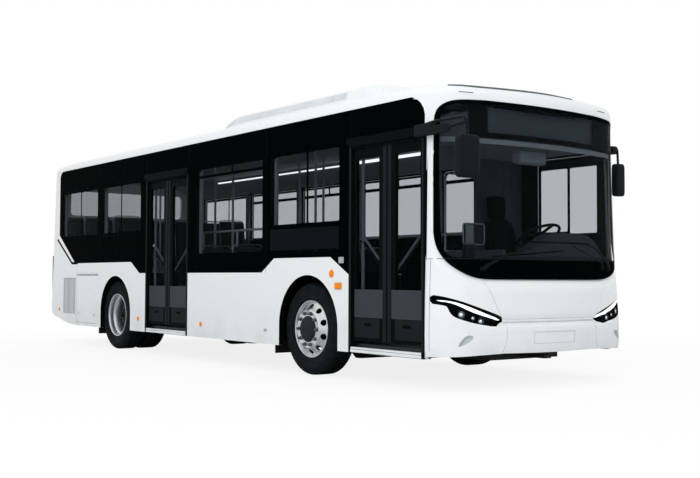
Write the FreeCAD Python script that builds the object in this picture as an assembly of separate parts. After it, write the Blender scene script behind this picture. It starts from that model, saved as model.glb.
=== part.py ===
import FreeCAD, Part
import math
import os

# City bus, a low-entry midi bus with two double doors on its right side.
# Frame: +X forward, +Y to the bus's left, +Z up, millimetres. The origin is on the ground
# under the centre of the overall box, which runs from the tail to the right mirror's tip.

Vec = FreeCAD.Vector

# ---- Driving dimensions ----------------------------------------------------------------
BODY_LENGTH = 9590.0          # tail to bumper
BODY_WIDTH = 2550.0           # over the side panels
MIRROR_REACH = 230.0          # right mirror's tip ahead of the bumper
WHEELBASE = 4840.0
FRONT_OVERHANG = 2310.0       # bumper ahead of the front axle
SILL_Z = 286.0                # lower edge of the side panels
WAIST_Z = 1067.0              # lower edge of the black window band
HIGH_WAIST_Z = 1220.0         # the same over the wheels and the engine
EAVES_Z = 2662.0              # where the side turns over into the roof
ROOF_CORNER_R = 130.0
ROOF_CROWN_R = 9800.0
WALL = 50.0                   # side wall, with its liner
SKIN = 8.0                    # glass and lids' sheet
FIT = 0.3                     # gap between pieces that touch but move, or meet on curved faces
MOVE_GAP = 6.0                # gap round a moving panel
HINGE_R = 6.0                 # hinge rods of the lids
HINGE_DROP = 20.0             # hinge line below the opening's hinged edge
HINGED_EDGE_GAP = 14.0        # and the sheet's edge below it

NOSE_X = (BODY_LENGTH - MIRROR_REACH) / 2.0
TAIL_X = NOSE_X - BODY_LENGTH
FRONT_AXLE_X = NOSE_X - FRONT_OVERHANG
REAR_AXLE_X = FRONT_AXLE_X - WHEELBASE
HALF = BODY_WIDTH / 2.0
INNER = HALF - WALL

# Plan shape
BOW_R = 4400.0                # gentle bow of the front
FRONT_CORNER_R = 375.0
REAR_CORNER_R = 150.0
FRONT_SEAM_X = NOSE_X - 405.0     # side panels end, front panels start
REAR_SEAM_X = TAIL_X + 200.0      # side panels start, rear panels end

# Body sections, bottom to top: height, nose set back from NOSE_X, tail set in from TAIL_X
TUCK_Z = 625.0                # the tail's rearmost height, where the underside starts
BODY_SECTIONS = [
    (240.0, 80.0, 60.0),
    (345.0, 8.0, 20.0),
    (540.0, 0.0, 0.0),
    (TUCK_Z, 24.0, 0.0),
    (900.0, 24.0, 22.0),
    (1000.0, 38.0, 30.0),
    (2560.0, 94.0, 120.0),
    (2900.0, 106.0, 170.0),
]

# Wheels
TYRE_R = 478.5
TYRE_W = 275.0
RIM_SEAT_R = 290.0
RIM_FLANGE_R = 298.5
WHEEL_Z = TYRE_R
TRACK_Y = HALF - 197.5            # centre of the single and of the outer twin tyre
TWIN_PITCH = 310.0
KINGPIN_Y = TRACK_Y - 127.5
KINGPIN_R = 18.0
SPINDLE_R = 35.0
HUB_BORE_R = SPINDLE_R + FIT

# Wheel arches in the side panels: centre ahead of the axle, radius, centre height
FRONT_ARCH = (44.0, TYRE_R + 57.5, WHEEL_Z + 24.5)
REAR_ARCH = (96.0, TYRE_R + 22.5, WHEEL_Z + 50.5)
FRONT_BOX_HALF = TYRE_R + 146.5   # front wheel boxes, half length inside
FRONT_BOX_Y = TRACK_Y - 502.5     # and their inner wall
REAR_BOX_AHEAD = TYRE_R + 141.5   # rear wheel boxes, inside, ahead of the axle
REAR_BOX_BEHIND = TYRE_R + 81.5
REAR_BOX_Y = TRACK_Y - 492.5
BOX_TOP_Z = WHEEL_Z + TYRE_R + 95.0
BOX_WALL = 20.0

# Floors
LOW_FLOOR_Z = 370.0
FLOOR_T = 40.0
HIGH_FLOOR_Z = 900.0
RISER_X = REAR_AXLE_X + 960.0     # where the high floor starts
RISER_T = 40.0
SEAT_PITCH = 700.0
CEILING_Z = 2560.0
LINER_T = 20.0

# Doors on the right side
DOOR_TOP_Z = 2310.0
FRONT_DOOR = (FRONT_AXLE_X + 764.0, FRONT_AXLE_X + 1895.0)
REAR_DOOR = (REAR_AXLE_X + 1064.0, REAR_AXLE_X + 2252.0)
DOOR_FRAME_W = 34.0
DOOR_FRAME_DEPTH = 80.0
THRESHOLD_Z = LOW_FLOOR_Z - 30.0
LEAF_T = 35.0
LEAF_FACE_Y = -HALF + 28.0        # outer face of a shut leaf
LEAF_LOW_Z = THRESHOLD_Z + 61.0
LEAF_HINGE_GAP = 12.0
LEAF_PIVOT_IN = 20.0              # pivot line in from the leaf's outer edge
LEAF_STILE = 40.0
LEAF_MEETING_STILE = 120.0
LEAF_GLASS_LOW_Z = 638.0
LEAF_GLASS_TOP_Z = 2175.0
PIVOT_R = 9.0

# Window openings: start and end from the front axle, sill height
WINDOW_TOP_Z = 2330.0
HIGH_SILL_Z = 1600.0
LOW_SILL_Z = 1290.0
RIGHT_WINDOWS = [
    (-1940.0 - WHEELBASE, -510.0 - WHEELBASE, HIGH_SILL_Z),
    (-410.0 - WHEELBASE, 930.0 - WHEELBASE, HIGH_SILL_Z),
    (REAR_DOOR[1] - FRONT_AXLE_X + 198.0, -830.0, LOW_SILL_Z),
    (-680.0, 610.0, LOW_SILL_Z),
]
LEFT_WINDOWS = [
    (-1940.0 - WHEELBASE, -510.0 - WHEELBASE, HIGH_SILL_Z),
    (-410.0 - WHEELBASE, 930.0 - WHEELBASE, HIGH_SILL_Z),
    (1050.0 - WHEELBASE, -2480.0, LOW_SILL_Z),
    (-2330.0, -830.0, LOW_SILL_Z),
    (-680.0, 610.0, LOW_SILL_Z),
    (890.0, 1765.0, 1450.0),
]
WINDOW_CORNER_R = 45.0

# Black band's lower edge, rear to front: x from the front axle, height
BAND_EDGE = [
    (-WHEELBASE - 2028.0, EAVES_Z),
    (-WHEELBASE - 2028.0, 1665.0),
    (-WHEELBASE - 1380.0, HIGH_WAIST_Z),
    (-WHEELBASE + 607.0, HIGH_WAIST_Z),
    (-WHEELBASE + 870.0, WAIST_Z),
    (-854.0, WAIST_Z),
    (-600.0, HIGH_WAIST_Z),
    (452.0, HIGH_WAIST_Z),
    (752.0, WAIST_Z - 18.0),
    (FRONT_OVERHANG - 405.0, WAIST_Z - 18.0),
    (FRONT_OVERHANG - 405.0, EAVES_Z),
]

# Front panels
SCREEN_LOW_Z = 1004.0
SCREEN_TOP_Z = 2640.0
SCREEN_HALF = HALF - 57.0
SCREEN_TOP_R = 140.0
SCREEN_LOW_R = 330.0
BUMPER_LOW_Z = 345.0
LID_TOP_HALF = HALF - 443.0
LID_LOW_HALF = HALF - 635.0
LID_TOP_Z = 988.0
LID_LOW_Z = 650.0
LID_T = 28.0
LAMP_DEPTH = 36.0
LID_HINGE_X = NOSE_X - 23.5   # the front lid folds down on two knuckles under its lower edge
LID_EDGE_GAP = 10.0
KNUCKLE_R = 6.7

MIRROR_BASE_X = (FRONT_AXLE_X + 1815.0, FRONT_AXLE_X + 1885.0)
MIRROR_BASE_Z = (2284.0, 2406.0)
MIRROR_BASE_T = 30.0

SIGN_X = (NOSE_X - 315.0, NOSE_X - 205.0)
SIGN_HALF = HALF - 485.0
SIGN_LOW_Z = 2330.0
PLATE_HALF = 270.0            # recess for the registration plate
PLATE_Z = (388.0, 552.0)
PLATE_FACE_X = NOSE_X - 14.0
TOW_EYE_X = NOSE_X - 165.0
TOW_EYE_R = 21.0
TOW_EYE_Z = (262.0, 292.0)

# Rear panels
REAR_GLASS_HALF = HALF - 285.0
REAR_GLASS_Z = (2010.0, 2400.0)
HATCH_HALF = HALF - 375.0
HATCH_Z = (640.0, 1560.0)
HATCH_HINGE_IN = 74.0         # hinge line in from TAIL_X
TAIL_LAMP_Z = (774.0, 1346.0)
TAIL_LAMP_Y = (HALF - 205.0, HALF - 50.0)

# Service flap on the right side, behind the rear wheel, and the grille beside it
FLAP_X = (REAR_AXLE_X - 1310.0, REAR_AXLE_X - 500.0)
FLAP_Z = (330.0, 1050.0)
GRILLE_X = (REAR_AXLE_X - 1830.0, REAR_AXLE_X - 1350.0)
GRILLE_Z = (455.0, 1000.0)

# Roof pod (air conditioning)
POD_X = (FRONT_AXLE_X - 2480.0, FRONT_AXLE_X + 900.0)
POD_HALF = HALF - 345.0
POD_TOP_Z = 3045.0

# Cab
CAB_Y = HALF - 715.0          # driver's seat and steering wheel
PLATFORM_Z = 640.0
PARTITION_X = FRONT_AXLE_X + 660.0
PARTITION_Y = 60.0
STEER_TILT = math.radians(28.0)
STEER_AXIS = Vec(-math.sin(STEER_TILT), 0.0, math.cos(STEER_TILT))
STEER_HUB = Vec(FRONT_AXLE_X + 1560.0, CAB_Y, 1450.0)

# Chassis
AXLE_TUBE_R = 85.0
AXLE_TRAVEL = 55.0            # room over the rear axle where it passes through the wheel boxes
RAIL_Y = REAR_BOX_Y - 150.0
RAIL_W = 70.0
LOW_RAIL_Z = (LOW_FLOOR_Z - FLOOR_T - 90.0, LOW_FLOOR_Z - FLOOR_T)
HIGH_RAIL_Z = (700.0, 820.0)
HIGH_RAIL_START_X = REAR_AXLE_X + 860.0
AXLE_BEAM_Z = (150.0, 230.0)
BEAM_W = 60.0                 # cross beams
BEAM_H = 40.0
UNIT_IN = 115.0               # cross beams end this far inside the body's side
TANK_BEAM_X = (FRONT_AXLE_X - 1700.0, FRONT_AXLE_X - 760.0)   # cross beams round the air tanks
ENGINE_X = (TAIL_X + 230.0, REAR_AXLE_X - 880.0)
ENGINE_Z = (380.0, 740.0)


# ---- Shape helpers -------------------------------------------------------------------------
def box(x0, x1, y0, y1, z0, z1):
    return Part.makeBox(x1 - x0, y1 - y0, z1 - z0, Vec(x0, y0, z0))


def rod(start, end, radius):
    along = end.sub(start)
    return Part.makeCylinder(radius, along.Length, start, along)


def fuse(shapes):
    result = shapes[0]
    if len(shapes) > 1:
        result = result.multiFuse(shapes[1:])
    return result.removeSplitter()


def cut(shape, tools):
    for tool in tools:
        shape = shape.cut(tool)
    return shape


def placed(u, v, plane, w):
    """Point (u, v) of a flat drawing, set at w along the plane's normal."""
    if plane == "XZ":
        return Vec(u, w, v)
    if plane == "YZ":
        return Vec(w, u, v)
    return Vec(u, v, w)


NORMALS = {"XZ": Vec(0, 1, 0), "YZ": Vec(1, 0, 0), "XY": Vec(0, 0, 1)}


def prism(steps, plane, w0, w1):
    """Extrude a closed outline from w0 to w1. A step (u, v) is a corner, and a step
    (um, vm, u, v) is an arc through (um, vm) to (u, v)."""
    edges = []
    here = placed(steps[0][0], steps[0][1], plane, w0)
    first = here
    for step in steps[1:]:
        there = placed(step[-2], step[-1], plane, w0)
        if len(step) == 4:
            edges.append(Part.Arc(here, placed(step[0], step[1], plane, w0), there).toShape())
        else:
            edges.append(Part.makeLine(here, there))
        here = there
    if here.distanceToPoint(first) > 1e-6:
        edges.append(Part.makeLine(here, first))
    face = Part.Face(Part.Wire(edges))
    return face.extrude(NORMALS[plane] * (w1 - w0))


def rounded(u0, u1, v0, v1, plane, w0, w1, low_r, top_r):
    """Rectangle with rounded corners, as a prism."""
    k = 1.0 - math.sqrt(0.5)
    steps = [
        (u0 + low_r, v0),
        (u1 - low_r, v0),
        (u1 - k * low_r, v0 + k * low_r, u1, v0 + low_r),
        (u1, v1 - top_r),
        (u1 - k * top_r, v1 - k * top_r, u1 - top_r, v1),
        (u0 + top_r, v1),
        (u0 + k * top_r, v1 - k * top_r, u0, v1 - top_r),
        (u0, v0 + low_r),
        (u0 + k * low_r, v0 + k * low_r, u0 + low_r, v0),
    ]
    return prism(steps, plane, w0, w1)


def lathe(outlines, centre, direction):
    """Turn closed (radius, along) outlines, joined where they overlap, about the axis
    through centre."""
    faces = []
    for outline in outlines:
        points = [Vec(r, 0, a) for r, a in outline]
        faces.append(Part.Face(Part.makePolygon(points + [points[0]])))
    solid = fuse(faces).Faces[0].revolve(Vec(0, 0, 0), Vec(0, 0, 1), 360)
    solid.Placement = FreeCAD.Placement(centre, FreeCAD.Rotation(Vec(0, 0, 1), direction))
    return solid


def save(name, shape):
    shape.exportStep("parts/" + name + ".step")


# ---- Body envelope -------------------------------------------------------------------------
def plan_wire(z, nose_back, tail_in, inset):
    """Plan outline at height z: bowed front, round corners, flat tail."""
    half = HALF - inset
    bow_r = BOW_R - inset
    corner_r = FRONT_CORNER_R - inset
    rear_r = REAR_CORNER_R - inset
    bow_x = NOSE_X - nose_back - BOW_R
    tail = TAIL_X + tail_in + inset
    corner_y = half - corner_r
    corner_x = bow_x + math.sqrt((bow_r - corner_r) ** 2 - corner_y ** 2)
    turn = math.atan2(corner_y, corner_x - bow_x)

    def on_bow(angle, side):
        return Vec(bow_x + bow_r * math.cos(angle), side * bow_r * math.sin(angle), z)

    def on_corner(angle, side):
        return Vec(corner_x + corner_r * math.cos(angle),
                   side * (corner_y + corner_r * math.sin(angle)), z)

    def on_rear(angle, side):
        return Vec(tail + rear_r - rear_r * math.cos(angle),
                   side * (half - rear_r + rear_r * math.sin(angle)), z)

    middle = (turn + math.pi / 2) / 2
    quarter = math.pi / 2
    edges = [
        Part.Arc(on_bow(turn, -1), on_bow(0, 1), on_bow(turn, 1)).toShape(),
        Part.Arc(on_bow(turn, 1), on_corner(middle, 1), on_corner(quarter, 1)).toShape(),
        Part.makeLine(on_corner(quarter, 1), on_rear(quarter, 1)),
        Part.Arc(on_rear(quarter, 1), on_rear(quarter / 2, 1), on_rear(0, 1)).toShape(),
        Part.makeLine(on_rear(0, 1), on_rear(0, -1)),
        Part.Arc(on_rear(0, -1), on_rear(quarter / 2, -1), on_rear(quarter, -1)).toShape(),
        Part.makeLine(on_rear(quarter, -1), on_corner(quarter, -1)),
        Part.Arc(on_corner(quarter, -1), on_corner(middle, -1), on_bow(turn, -1)).toShape(),
    ]
    return Part.Wire(edges)


def roof_section(inset):
    """Cross-section in YZ: upright sides, corner arcs and a slow crown."""
    half = HALF - inset
    corner_r = ROOF_CORNER_R - inset
    crown_r = ROOF_CROWN_R - inset
    corner_y = half - corner_r
    reach = math.sqrt((crown_r - corner_r) ** 2 - corner_y ** 2)
    crown_z = EAVES_Z - reach
    turn = math.atan2(corner_y, reach)
    middle = turn / 2 + math.pi / 4

    def corner(angle, side):
        return (side * (corner_y + corner_r * math.sin(angle)),
                EAVES_Z + corner_r * math.cos(angle))

    top = (0.0, crown_z + crown_r)
    left = corner(turn, 1)
    right = corner(turn, -1)
    low_z = 100.0
    steps = [
        (-half, low_z),
        (half, low_z),
        (half, EAVES_Z),
        corner(middle, 1) + left,
        top + right,
        corner(middle, -1) + (-half, EAVES_Z),
    ]
    return prism(steps, "YZ", TAIL_X - 50.0, NOSE_X + 50.0)


def side_profile(inset):
    """Side view in XZ: rounded roof ends, and the underside rising to the tail."""
    front = NOSE_X - inset
    rear = TAIL_X + inset
    down = inset
    steps = [
        (rear - 60.0, TUCK_Z),
        (rear, TUCK_Z),
        (rear + 90.0, 500.0, rear + 390.0, 384.0),
        (rear + 800.0, 310.0, rear + 1210.0, SILL_Z),
        (FRONT_SEAM_X, SILL_Z),
        (FRONT_SEAM_X, BUMPER_LOW_Z - 60.0),
        (front + 60.0, BUMPER_LOW_Z - 60.0),
        (front + 60.0, 2560.0 - down),
        (front - 94.0, 2560.0 - down),
        (front - 165.0, 2720.0 - down, front - 430.0, 2800.0 - down),
        (front - 760.0, 2852.0 - down, front - 1110.0, 2880.0 - down),
        (rear + 900.0, 2880.0 - down),
        (rear + 480.0, 2862.0 - down, rear + 300.0, 2800.0 - down),
        (rear + 160.0, 2700.0 - down, rear + 120.0, 2560.0 - down),
        (rear - 60.0, 2560.0 - down),
    ]
    if inset > 0:
        # An inner shape runs out through the bottom, so that the shell is open there.
        steps = [(rear - 60.0, 100.0), (front + 60.0, 100.0)] + steps[7:]
    return prism(steps, "XZ", -HALF - 50.0, HALF + 50.0)


def envelope(inset):
    wires = [plan_wire(z, nose, tail, inset) for z, nose, tail in BODY_SECTIONS]
    body = Part.makeLoft(wires, True, True)
    return body.common(roof_section(inset)).common(side_profile(inset))


def skin_in(region, depth):
    """The body's skin, depth thick, inside a region."""
    return OUTER.common(region).cut(envelope(depth))


OUTER = envelope(0.0)
SHELL = OUTER.cut(envelope(WALL))
GLASS_SHELL = OUTER.cut(envelope(SKIN))
FAR = 6000.0


def side_slab(side, depth):
    """Everything within depth of one side, between the front and rear seams."""
    y0, y1 = sorted((side * (HALF + 20.0), side * (HALF - depth)))
    return box(REAR_SEAM_X, FRONT_SEAM_X, y0, y1, 0.0, EAVES_Z)


def band_region():
    steps = [(FRONT_AXLE_X + x, z) for x, z in BAND_EDGE]
    return prism(steps, "XZ", -HALF - 100.0, HALF + 100.0)


def arch(axle_x, table):
    offset, radius, centre_z = table
    x = axle_x + offset
    dome = Part.makeCylinder(radius, 2 * HALF + 200.0, Vec(x, -HALF - 100.0, centre_z), Vec(0, 1, 0))
    return dome.fuse(box(x - radius, x + radius, -HALF - 100.0, HALF + 100.0, 0.0, centre_z))


def window_hole(window, side, thickness, shrink):
    """Round-cornered prism through a side wall, or the pane that fills it."""
    start, end, sill = window
    y0, y1 = sorted((side * (HALF + 5.0), side * (HALF - thickness)))
    if shrink:
        y0, y1 = sorted((side * HALF, side * (HALF - thickness)))
    return rounded(FRONT_AXLE_X + start, FRONT_AXLE_X + end, sill, WINDOW_TOP_Z, "XZ", y0, y1,
                   WINDOW_CORNER_R, WINDOW_CORNER_R)


def door_hole(door, low_z):
    return box(door[0], door[1], -HALF - 50.0, -INNER + 200.0, low_z, DOOR_TOP_Z)


DOORS = {"front": FRONT_DOOR, "rear": REAR_DOOR}


def make_side_panels():
    band = band_region()
    arches = [arch(FRONT_AXLE_X, FRONT_ARCH), arch(REAR_AXLE_X, REAR_ARCH)]
    doors = [door_hole(door, 0.0) for door in DOORS.values()]
    flap_hole = box(FLAP_X[0], FLAP_X[1], -HALF - 50.0, -INNER + 10.0, FLAP_Z[0], FLAP_Z[1])
    grille_hole = box(GRILLE_X[0], GRILLE_X[1], -HALF - 50.0, -INNER + 10.0,
                      GRILLE_Z[0], GRILLE_Z[1])
    for name, side, windows in (("right", -1, RIGHT_WINDOWS), ("left", 1, LEFT_WINDOWS)):
        wall = SHELL.common(side_slab(side, WALL))
        holes = [window_hole(window, side, WALL + 5.0, False) for window in windows]
        own_band = cut(wall.common(band), holes)
        skirt = cut(wall.cut(band), arches)
        if side < 0:
            own_band = cut(own_band, doors)
            skirt = cut(skirt, doors + [flap_hole, grille_hole])
        save(name + "_window_band", own_band)
        save(name + "_skirt", skirt)
        panes = [window_hole(window, side, SKIN, True) for window in windows]
        save(name + "_windows", Part.makeCompound(panes))


def make_grille():
    """Slatted grille in front of the radiator."""
    x0, x1 = GRILLE_X
    z0, z1 = GRILLE_Z
    rim = 20.0
    frame = box(x0, x1, -HALF + 2.0, -HALF + 30.0, z0, z1)
    frame = frame.cut(box(x0 + rim, x1 - rim, -HALF, -HALF + 40.0, z0 + rim, z1 - rim))
    bars = [frame]
    count = 12
    pitch = (z1 - z0 - 2 * rim) / count
    bar_h = 0.45 * pitch
    root = 5.0
    for i in range(count):
        low = z0 + rim + (i + 0.25) * pitch
        bars.append(box(x0 + rim - root, x1 - rim + root, -HALF + 6.0, -HALF + 24.0, low, low + bar_h))
    save("side_grille", fuse(bars))


def make_service_flap():
    """Flap with a hinge strip along its top edge."""
    x0, x1 = FLAP_X
    z0, z1 = FLAP_Z
    sheet = box(x0 + MOVE_GAP, x1 - MOVE_GAP, -HALF, -HALF + LID_T, z0 + MOVE_GAP, z1 - HINGED_EDGE_GAP)
    hinge_y = -HALF + HINGE_R + 2.0
    hinge_z = z1 - HINGE_DROP
    hinge = rod(Vec(x0 + FIT, hinge_y, hinge_z), Vec(x1 - FIT, hinge_y, hinge_z), HINGE_R)
    save("service_flap", fuse([sheet, hinge]))


# ---- Roof ----------------------------------------------------------------------------------
def make_roof():
    above = box(TAIL_X - 50.0, NOSE_X + 50.0, -FAR, FAR, EAVES_Z, 3000.0)
    save("roof_shell", SHELL.common(above))
    x0, x1 = POD_X
    low_z = EAVES_Z + 100.0
    side = [
        (x0, low_z),
        (x0, low_z + 60.0),
        (x0 + 60.0, POD_TOP_Z - 110.0, x0 + 330.0, POD_TOP_Z - 20.0),
        (x0 + 500.0, POD_TOP_Z),
        (x1 - 900.0, POD_TOP_Z),
        (x1 - 500.0, POD_TOP_Z - 60.0, x1, low_z + 70.0),
        (x1, low_z),
    ]
    across = [
        (-POD_HALF, low_z),
        (-POD_HALF + 8.0, POD_TOP_Z - 125.0),
        (-POD_HALF + 45.0, POD_TOP_Z - 65.0, -POD_HALF + 190.0, POD_TOP_Z - 30.0),
        (0.0, POD_TOP_Z, POD_HALF - 190.0, POD_TOP_Z - 30.0),
        (POD_HALF - 45.0, POD_TOP_Z - 65.0, POD_HALF - 8.0, POD_TOP_Z - 125.0),
        (POD_HALF, low_z),
    ]
    pod = prism(side, "XZ", -POD_HALF, POD_HALF).common(prism(across, "YZ", x0, x1))
    roof_block = roof_section(0.0)
    save("roof_pod", pod.cut(roof_block))


# ---- Front ---------------------------------------------------------------------------------
def screen_prism():
    return rounded(-SCREEN_HALF, SCREEN_HALF, SCREEN_LOW_Z, SCREEN_TOP_Z, "YZ",
                   FRONT_SEAM_X + 40.0, NOSE_X + 60.0, SCREEN_LOW_R, SCREEN_TOP_R)


def lamp_prism(side):
    steps = [
        # in from the body's side, height
        (7.0, 868.0),
        (160.0, 816.0),
        (620.0, 668.0),
        (659.0, 619.0),
        (524.0, 574.0),
        (334.0, 611.0),
        (160.0, 662.0),
        (105.0, 767.0),
        (7.0, 802.0),
    ]
    return prism([(side * (HALF - y_in), z) for y_in, z in steps], "YZ",
                 FRONT_SEAM_X + 10.0, NOSE_X + 60.0)


def lid_prism(gap):
    """Opening of the front lid, or the lid's own outline where it is set in by gap."""
    top = LID_TOP_HALF - gap
    low = LID_LOW_HALF - gap
    low_z = LID_LOW_Z
    if gap > 0.0:
        low_z += LID_EDGE_GAP
    steps = [(-top, LID_TOP_Z - gap), (-low, low_z), (low, low_z), (top, LID_TOP_Z - gap)]
    return prism(steps, "YZ", NOSE_X - 300.0, NOSE_X + 60.0)


def make_front():
    front = box(FRONT_SEAM_X, NOSE_X + 50.0, -FAR, FAR, BUMPER_LOW_Z, EAVES_Z)
    fascia = skin_in(front, WALL)
    plate = box(PLATE_FACE_X, NOSE_X + 50.0, -PLATE_HALF, PLATE_HALF, PLATE_Z[0], PLATE_Z[1])
    holes = [screen_prism(), lid_prism(0.0), lamp_prism(1), lamp_prism(-1), plate]
    save("front_fascia", cut(fascia, holes))
    save("windscreen", GLASS_SHELL.common(screen_prism()))
    save("headlights", Part.makeCompound([skin_in(lamp_prism(side), LAMP_DEPTH) for side in (1, -1)]))
    hinge_z = LID_LOW_Z + KNUCKLE_R + FIT
    knuckles = []
    for y in (-150.0, 150.0):
        start = Vec(LID_HINGE_X, y - 30.0, hinge_z)
        knuckles.append(rod(start, start + Vec(0, 60.0, 0), KNUCKLE_R))
    save("front_lid", fuse([skin_in(lid_prism(MOVE_GAP), LID_T)] + knuckles))


def make_wipers():
    """Two arms with blades, parked on the lower windscreen."""
    rows = [
        # pivot y, z, blade from y, z to y, z
        (-845.0, 1075.0, -800.0, 1135.0, -150.0, 1330.0),
        (815.0, 1080.0, 520.0, 1385.0, -60.0, 1370.0),
    ]
    pieces = []
    for pivot_y, pivot_z, y0, z0, y1, z1 in rows:
        pieces.append((screen_point(pivot_y, pivot_z, -4.0), screen_point(pivot_y, pivot_z, 46.0), 17.0))
        pieces.append((screen_point(pivot_y, pivot_z, 38.0), screen_point(y0, z0, 38.0), 11.0))
        pieces.append((screen_point(y0, z0, 38.0), screen_point(y1, z1, 34.0), 9.0))
    solids = [rod(start, end, radius) for start, end, radius in pieces]
    arms = [fuse(solids[:3]), fuse(solids[3:])]
    save("wipers", Part.makeCompound([arm.cut(OUTER) for arm in arms]))


def screen_point(y, z, out):
    """Point a given distance ahead of the bowed windscreen."""
    sections = BODY_SECTIONS[5:7]
    share = (z - sections[0][0]) / (sections[1][0] - sections[0][0])
    back = sections[0][1] + share * (sections[1][1] - sections[0][1])
    bow_x = NOSE_X - back - BOW_R
    corner_y = HALF - FRONT_CORNER_R
    turn_y = corner_y * BOW_R / (BOW_R - FRONT_CORNER_R)
    if abs(y) <= turn_y:
        x = bow_x + math.sqrt(BOW_R ** 2 - y ** 2)
    else:
        corner_x = bow_x + math.sqrt((BOW_R - FRONT_CORNER_R) ** 2 - corner_y ** 2)
        x = corner_x + math.sqrt(FRONT_CORNER_R ** 2 - (abs(y) - corner_y) ** 2)
    return Vec(x + out, y, z)


def mirror_base(gap):
    """Foot of the right mirror's arm on the body side, or the room it needs."""
    x0, x1 = MIRROR_BASE_X
    return box(x0 - gap, x1 + gap, -HALF - MIRROR_BASE_T - gap, -HALF, MIRROR_BASE_Z[0] - gap,
               MIRROR_BASE_Z[1] + gap)


def make_mirrors():
    """Right mirror on a long double arm, left mirror on a short one."""
    head_w, head_t, head_h = 220.0, 100.0, 365.0
    tube_r = 12.0
    tip_x = NOSE_X + MIRROR_REACH
    head_x = tip_x - head_t / 2.0
    right_y = -HALF - MIRROR_BASE_T
    low_z = 1865.0
    top_z = low_z + head_h
    root = 20.0
    head = rounded(right_y - head_w / 2, right_y + head_w / 2, low_z, top_z, "YZ",
                   head_x - head_t / 2, tip_x, 35.0, 25.0)
    right = [head, mirror_base(0.0)]
    base_x = sum(MIRROR_BASE_X) / 2.0
    arms = [
        # height at the foot, height at the head
        (2390.0, 2356.0),
        (2300.0, 2290.0),
    ]
    for foot_z, tip_z in arms:
        right.append(rod(Vec(base_x, right_y + 3.0, foot_z), Vec(head_x, right_y, tip_z), tube_r))
    stem_z = arms[0][1] + tube_r
    right.append(rod(Vec(head_x, right_y, stem_z), Vec(head_x, right_y, top_z - root), tube_r))
    left_w, left_t, left_h = 130.0, 80.0, 340.0
    left_x = NOSE_X - 360.0
    left_y = HALF + 10.0 + left_w / 2
    left_low_z = 1872.0
    left_top_z = left_low_z + left_h
    arm_z = 2390.0
    left = [
        rounded(left_y - left_w / 2, left_y + left_w / 2, left_low_z, left_top_z, "YZ",
                left_x - left_t / 2, left_x + left_t / 2, 30.0, 20.0),
        rod(Vec(left_x, left_y, left_top_z - root), Vec(left_x, left_y, arm_z + 10.0), tube_r),
        rod(Vec(left_x, left_y, arm_z), Vec(left_x - 60.0, HALF - 30.0, arm_z), tube_r),
    ]
    save("mirrors", Part.makeCompound([fuse(solids).cut(OUTER) for solids in (right, left)]))


def make_destination_sign():
    """Sign box behind the top of the windscreen."""
    case = box(SIGN_X[0], SIGN_X[1], -SIGN_HALF, SIGN_HALF, SIGN_LOW_Z, CEILING_Z + LINER_T)
    save("destination_sign", case)


# ---- Rear ----------------------------------------------------------------------------------
def make_rear():
    rear = box(TAIL_X - 50.0, REAR_SEAM_X, -FAR, FAR, 0.0, EAVES_Z)
    low_cap = box(TAIL_X - 50.0, REAR_SEAM_X, -INNER, INNER, 0.0, HATCH_Z[0] - 140.0)
    shell = SHELL.common(rear).cut(low_cap)
    glass = rounded(-REAR_GLASS_HALF, REAR_GLASS_HALF, REAR_GLASS_Z[0], REAR_GLASS_Z[1], "YZ",
                    TAIL_X - 50.0, REAR_SEAM_X, 60.0, 60.0)
    hatch = box(TAIL_X - 50.0, REAR_SEAM_X, -HATCH_HALF, HATCH_HALF, HATCH_Z[0], HATCH_Z[1])
    lamps = [box(TAIL_X - 50.0, REAR_SEAM_X, min(side * TAIL_LAMP_Y[0], side * TAIL_LAMP_Y[1]),
                 max(side * TAIL_LAMP_Y[0], side * TAIL_LAMP_Y[1]), TAIL_LAMP_Z[0], TAIL_LAMP_Z[1])
             for side in (1, -1)]
    save("rear_panel", cut(shell, [glass, hatch] + lamps))
    save("rear_window", GLASS_SHELL.common(glass))
    save("tail_lamps", Part.makeCompound([skin_in(lamp, LAMP_DEPTH) for lamp in lamps]))
    moving = box(TAIL_X - 50.0, REAR_SEAM_X, -HATCH_HALF + MOVE_GAP, HATCH_HALF - MOVE_GAP,
                 HATCH_Z[0] + MOVE_GAP, HATCH_Z[1] - HINGED_EDGE_GAP)
    hinge_x = TAIL_X + HATCH_HINGE_IN
    hinge_z = HATCH_Z[1] - HINGE_DROP
    hinge_y = HATCH_HALF - FIT
    hinge = rod(Vec(hinge_x, -hinge_y, hinge_z), Vec(hinge_x, hinge_y, hinge_z), HINGE_R)
    save("engine_cover", fuse([skin_in(moving, LID_T), hinge]))


# ---- Doors ---------------------------------------------------------------------------------
def make_door_frames():
    """Aluminium frame in each doorway, with its threshold and the drive box over it."""
    solids = []
    proud = 3.0
    box_y = -HALF - 25.0
    inner_y = -HALF + DOOR_FRAME_DEPTH
    box_ends = {"front": MIRROR_BASE_X[0] - MOVE_GAP, "rear": REAR_DOOR[1] + 10.0}
    for name, (x0, x1) in DOORS.items():
        frame = box(x0, x1, -HALF - proud, inner_y, SILL_Z, DOOR_TOP_Z)
        hole = box(x0 + DOOR_FRAME_W, x1 - DOOR_FRAME_W, -HALF - 10.0, inner_y + 10.0,
                   THRESHOLD_Z, DOOR_TOP_Z - DOOR_FRAME_W)
        end = box_ends[name]
        header = box(x0 - 20.0, end, box_y, -HALF, DOOR_TOP_Z + 8.0, DOOR_TOP_Z + 68.0)
        lintel = box(x0 + 40.0, min(end, x1 - 40.0), box_y, -HALF - proud, DOOR_TOP_Z - 20.0,
                     DOOR_TOP_Z + 10.0)
        solids.append(fuse([frame.cut(hole), header, lintel]).cut(mirror_base(0.0)))
    save("door_frames", Part.makeCompound(solids))


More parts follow.
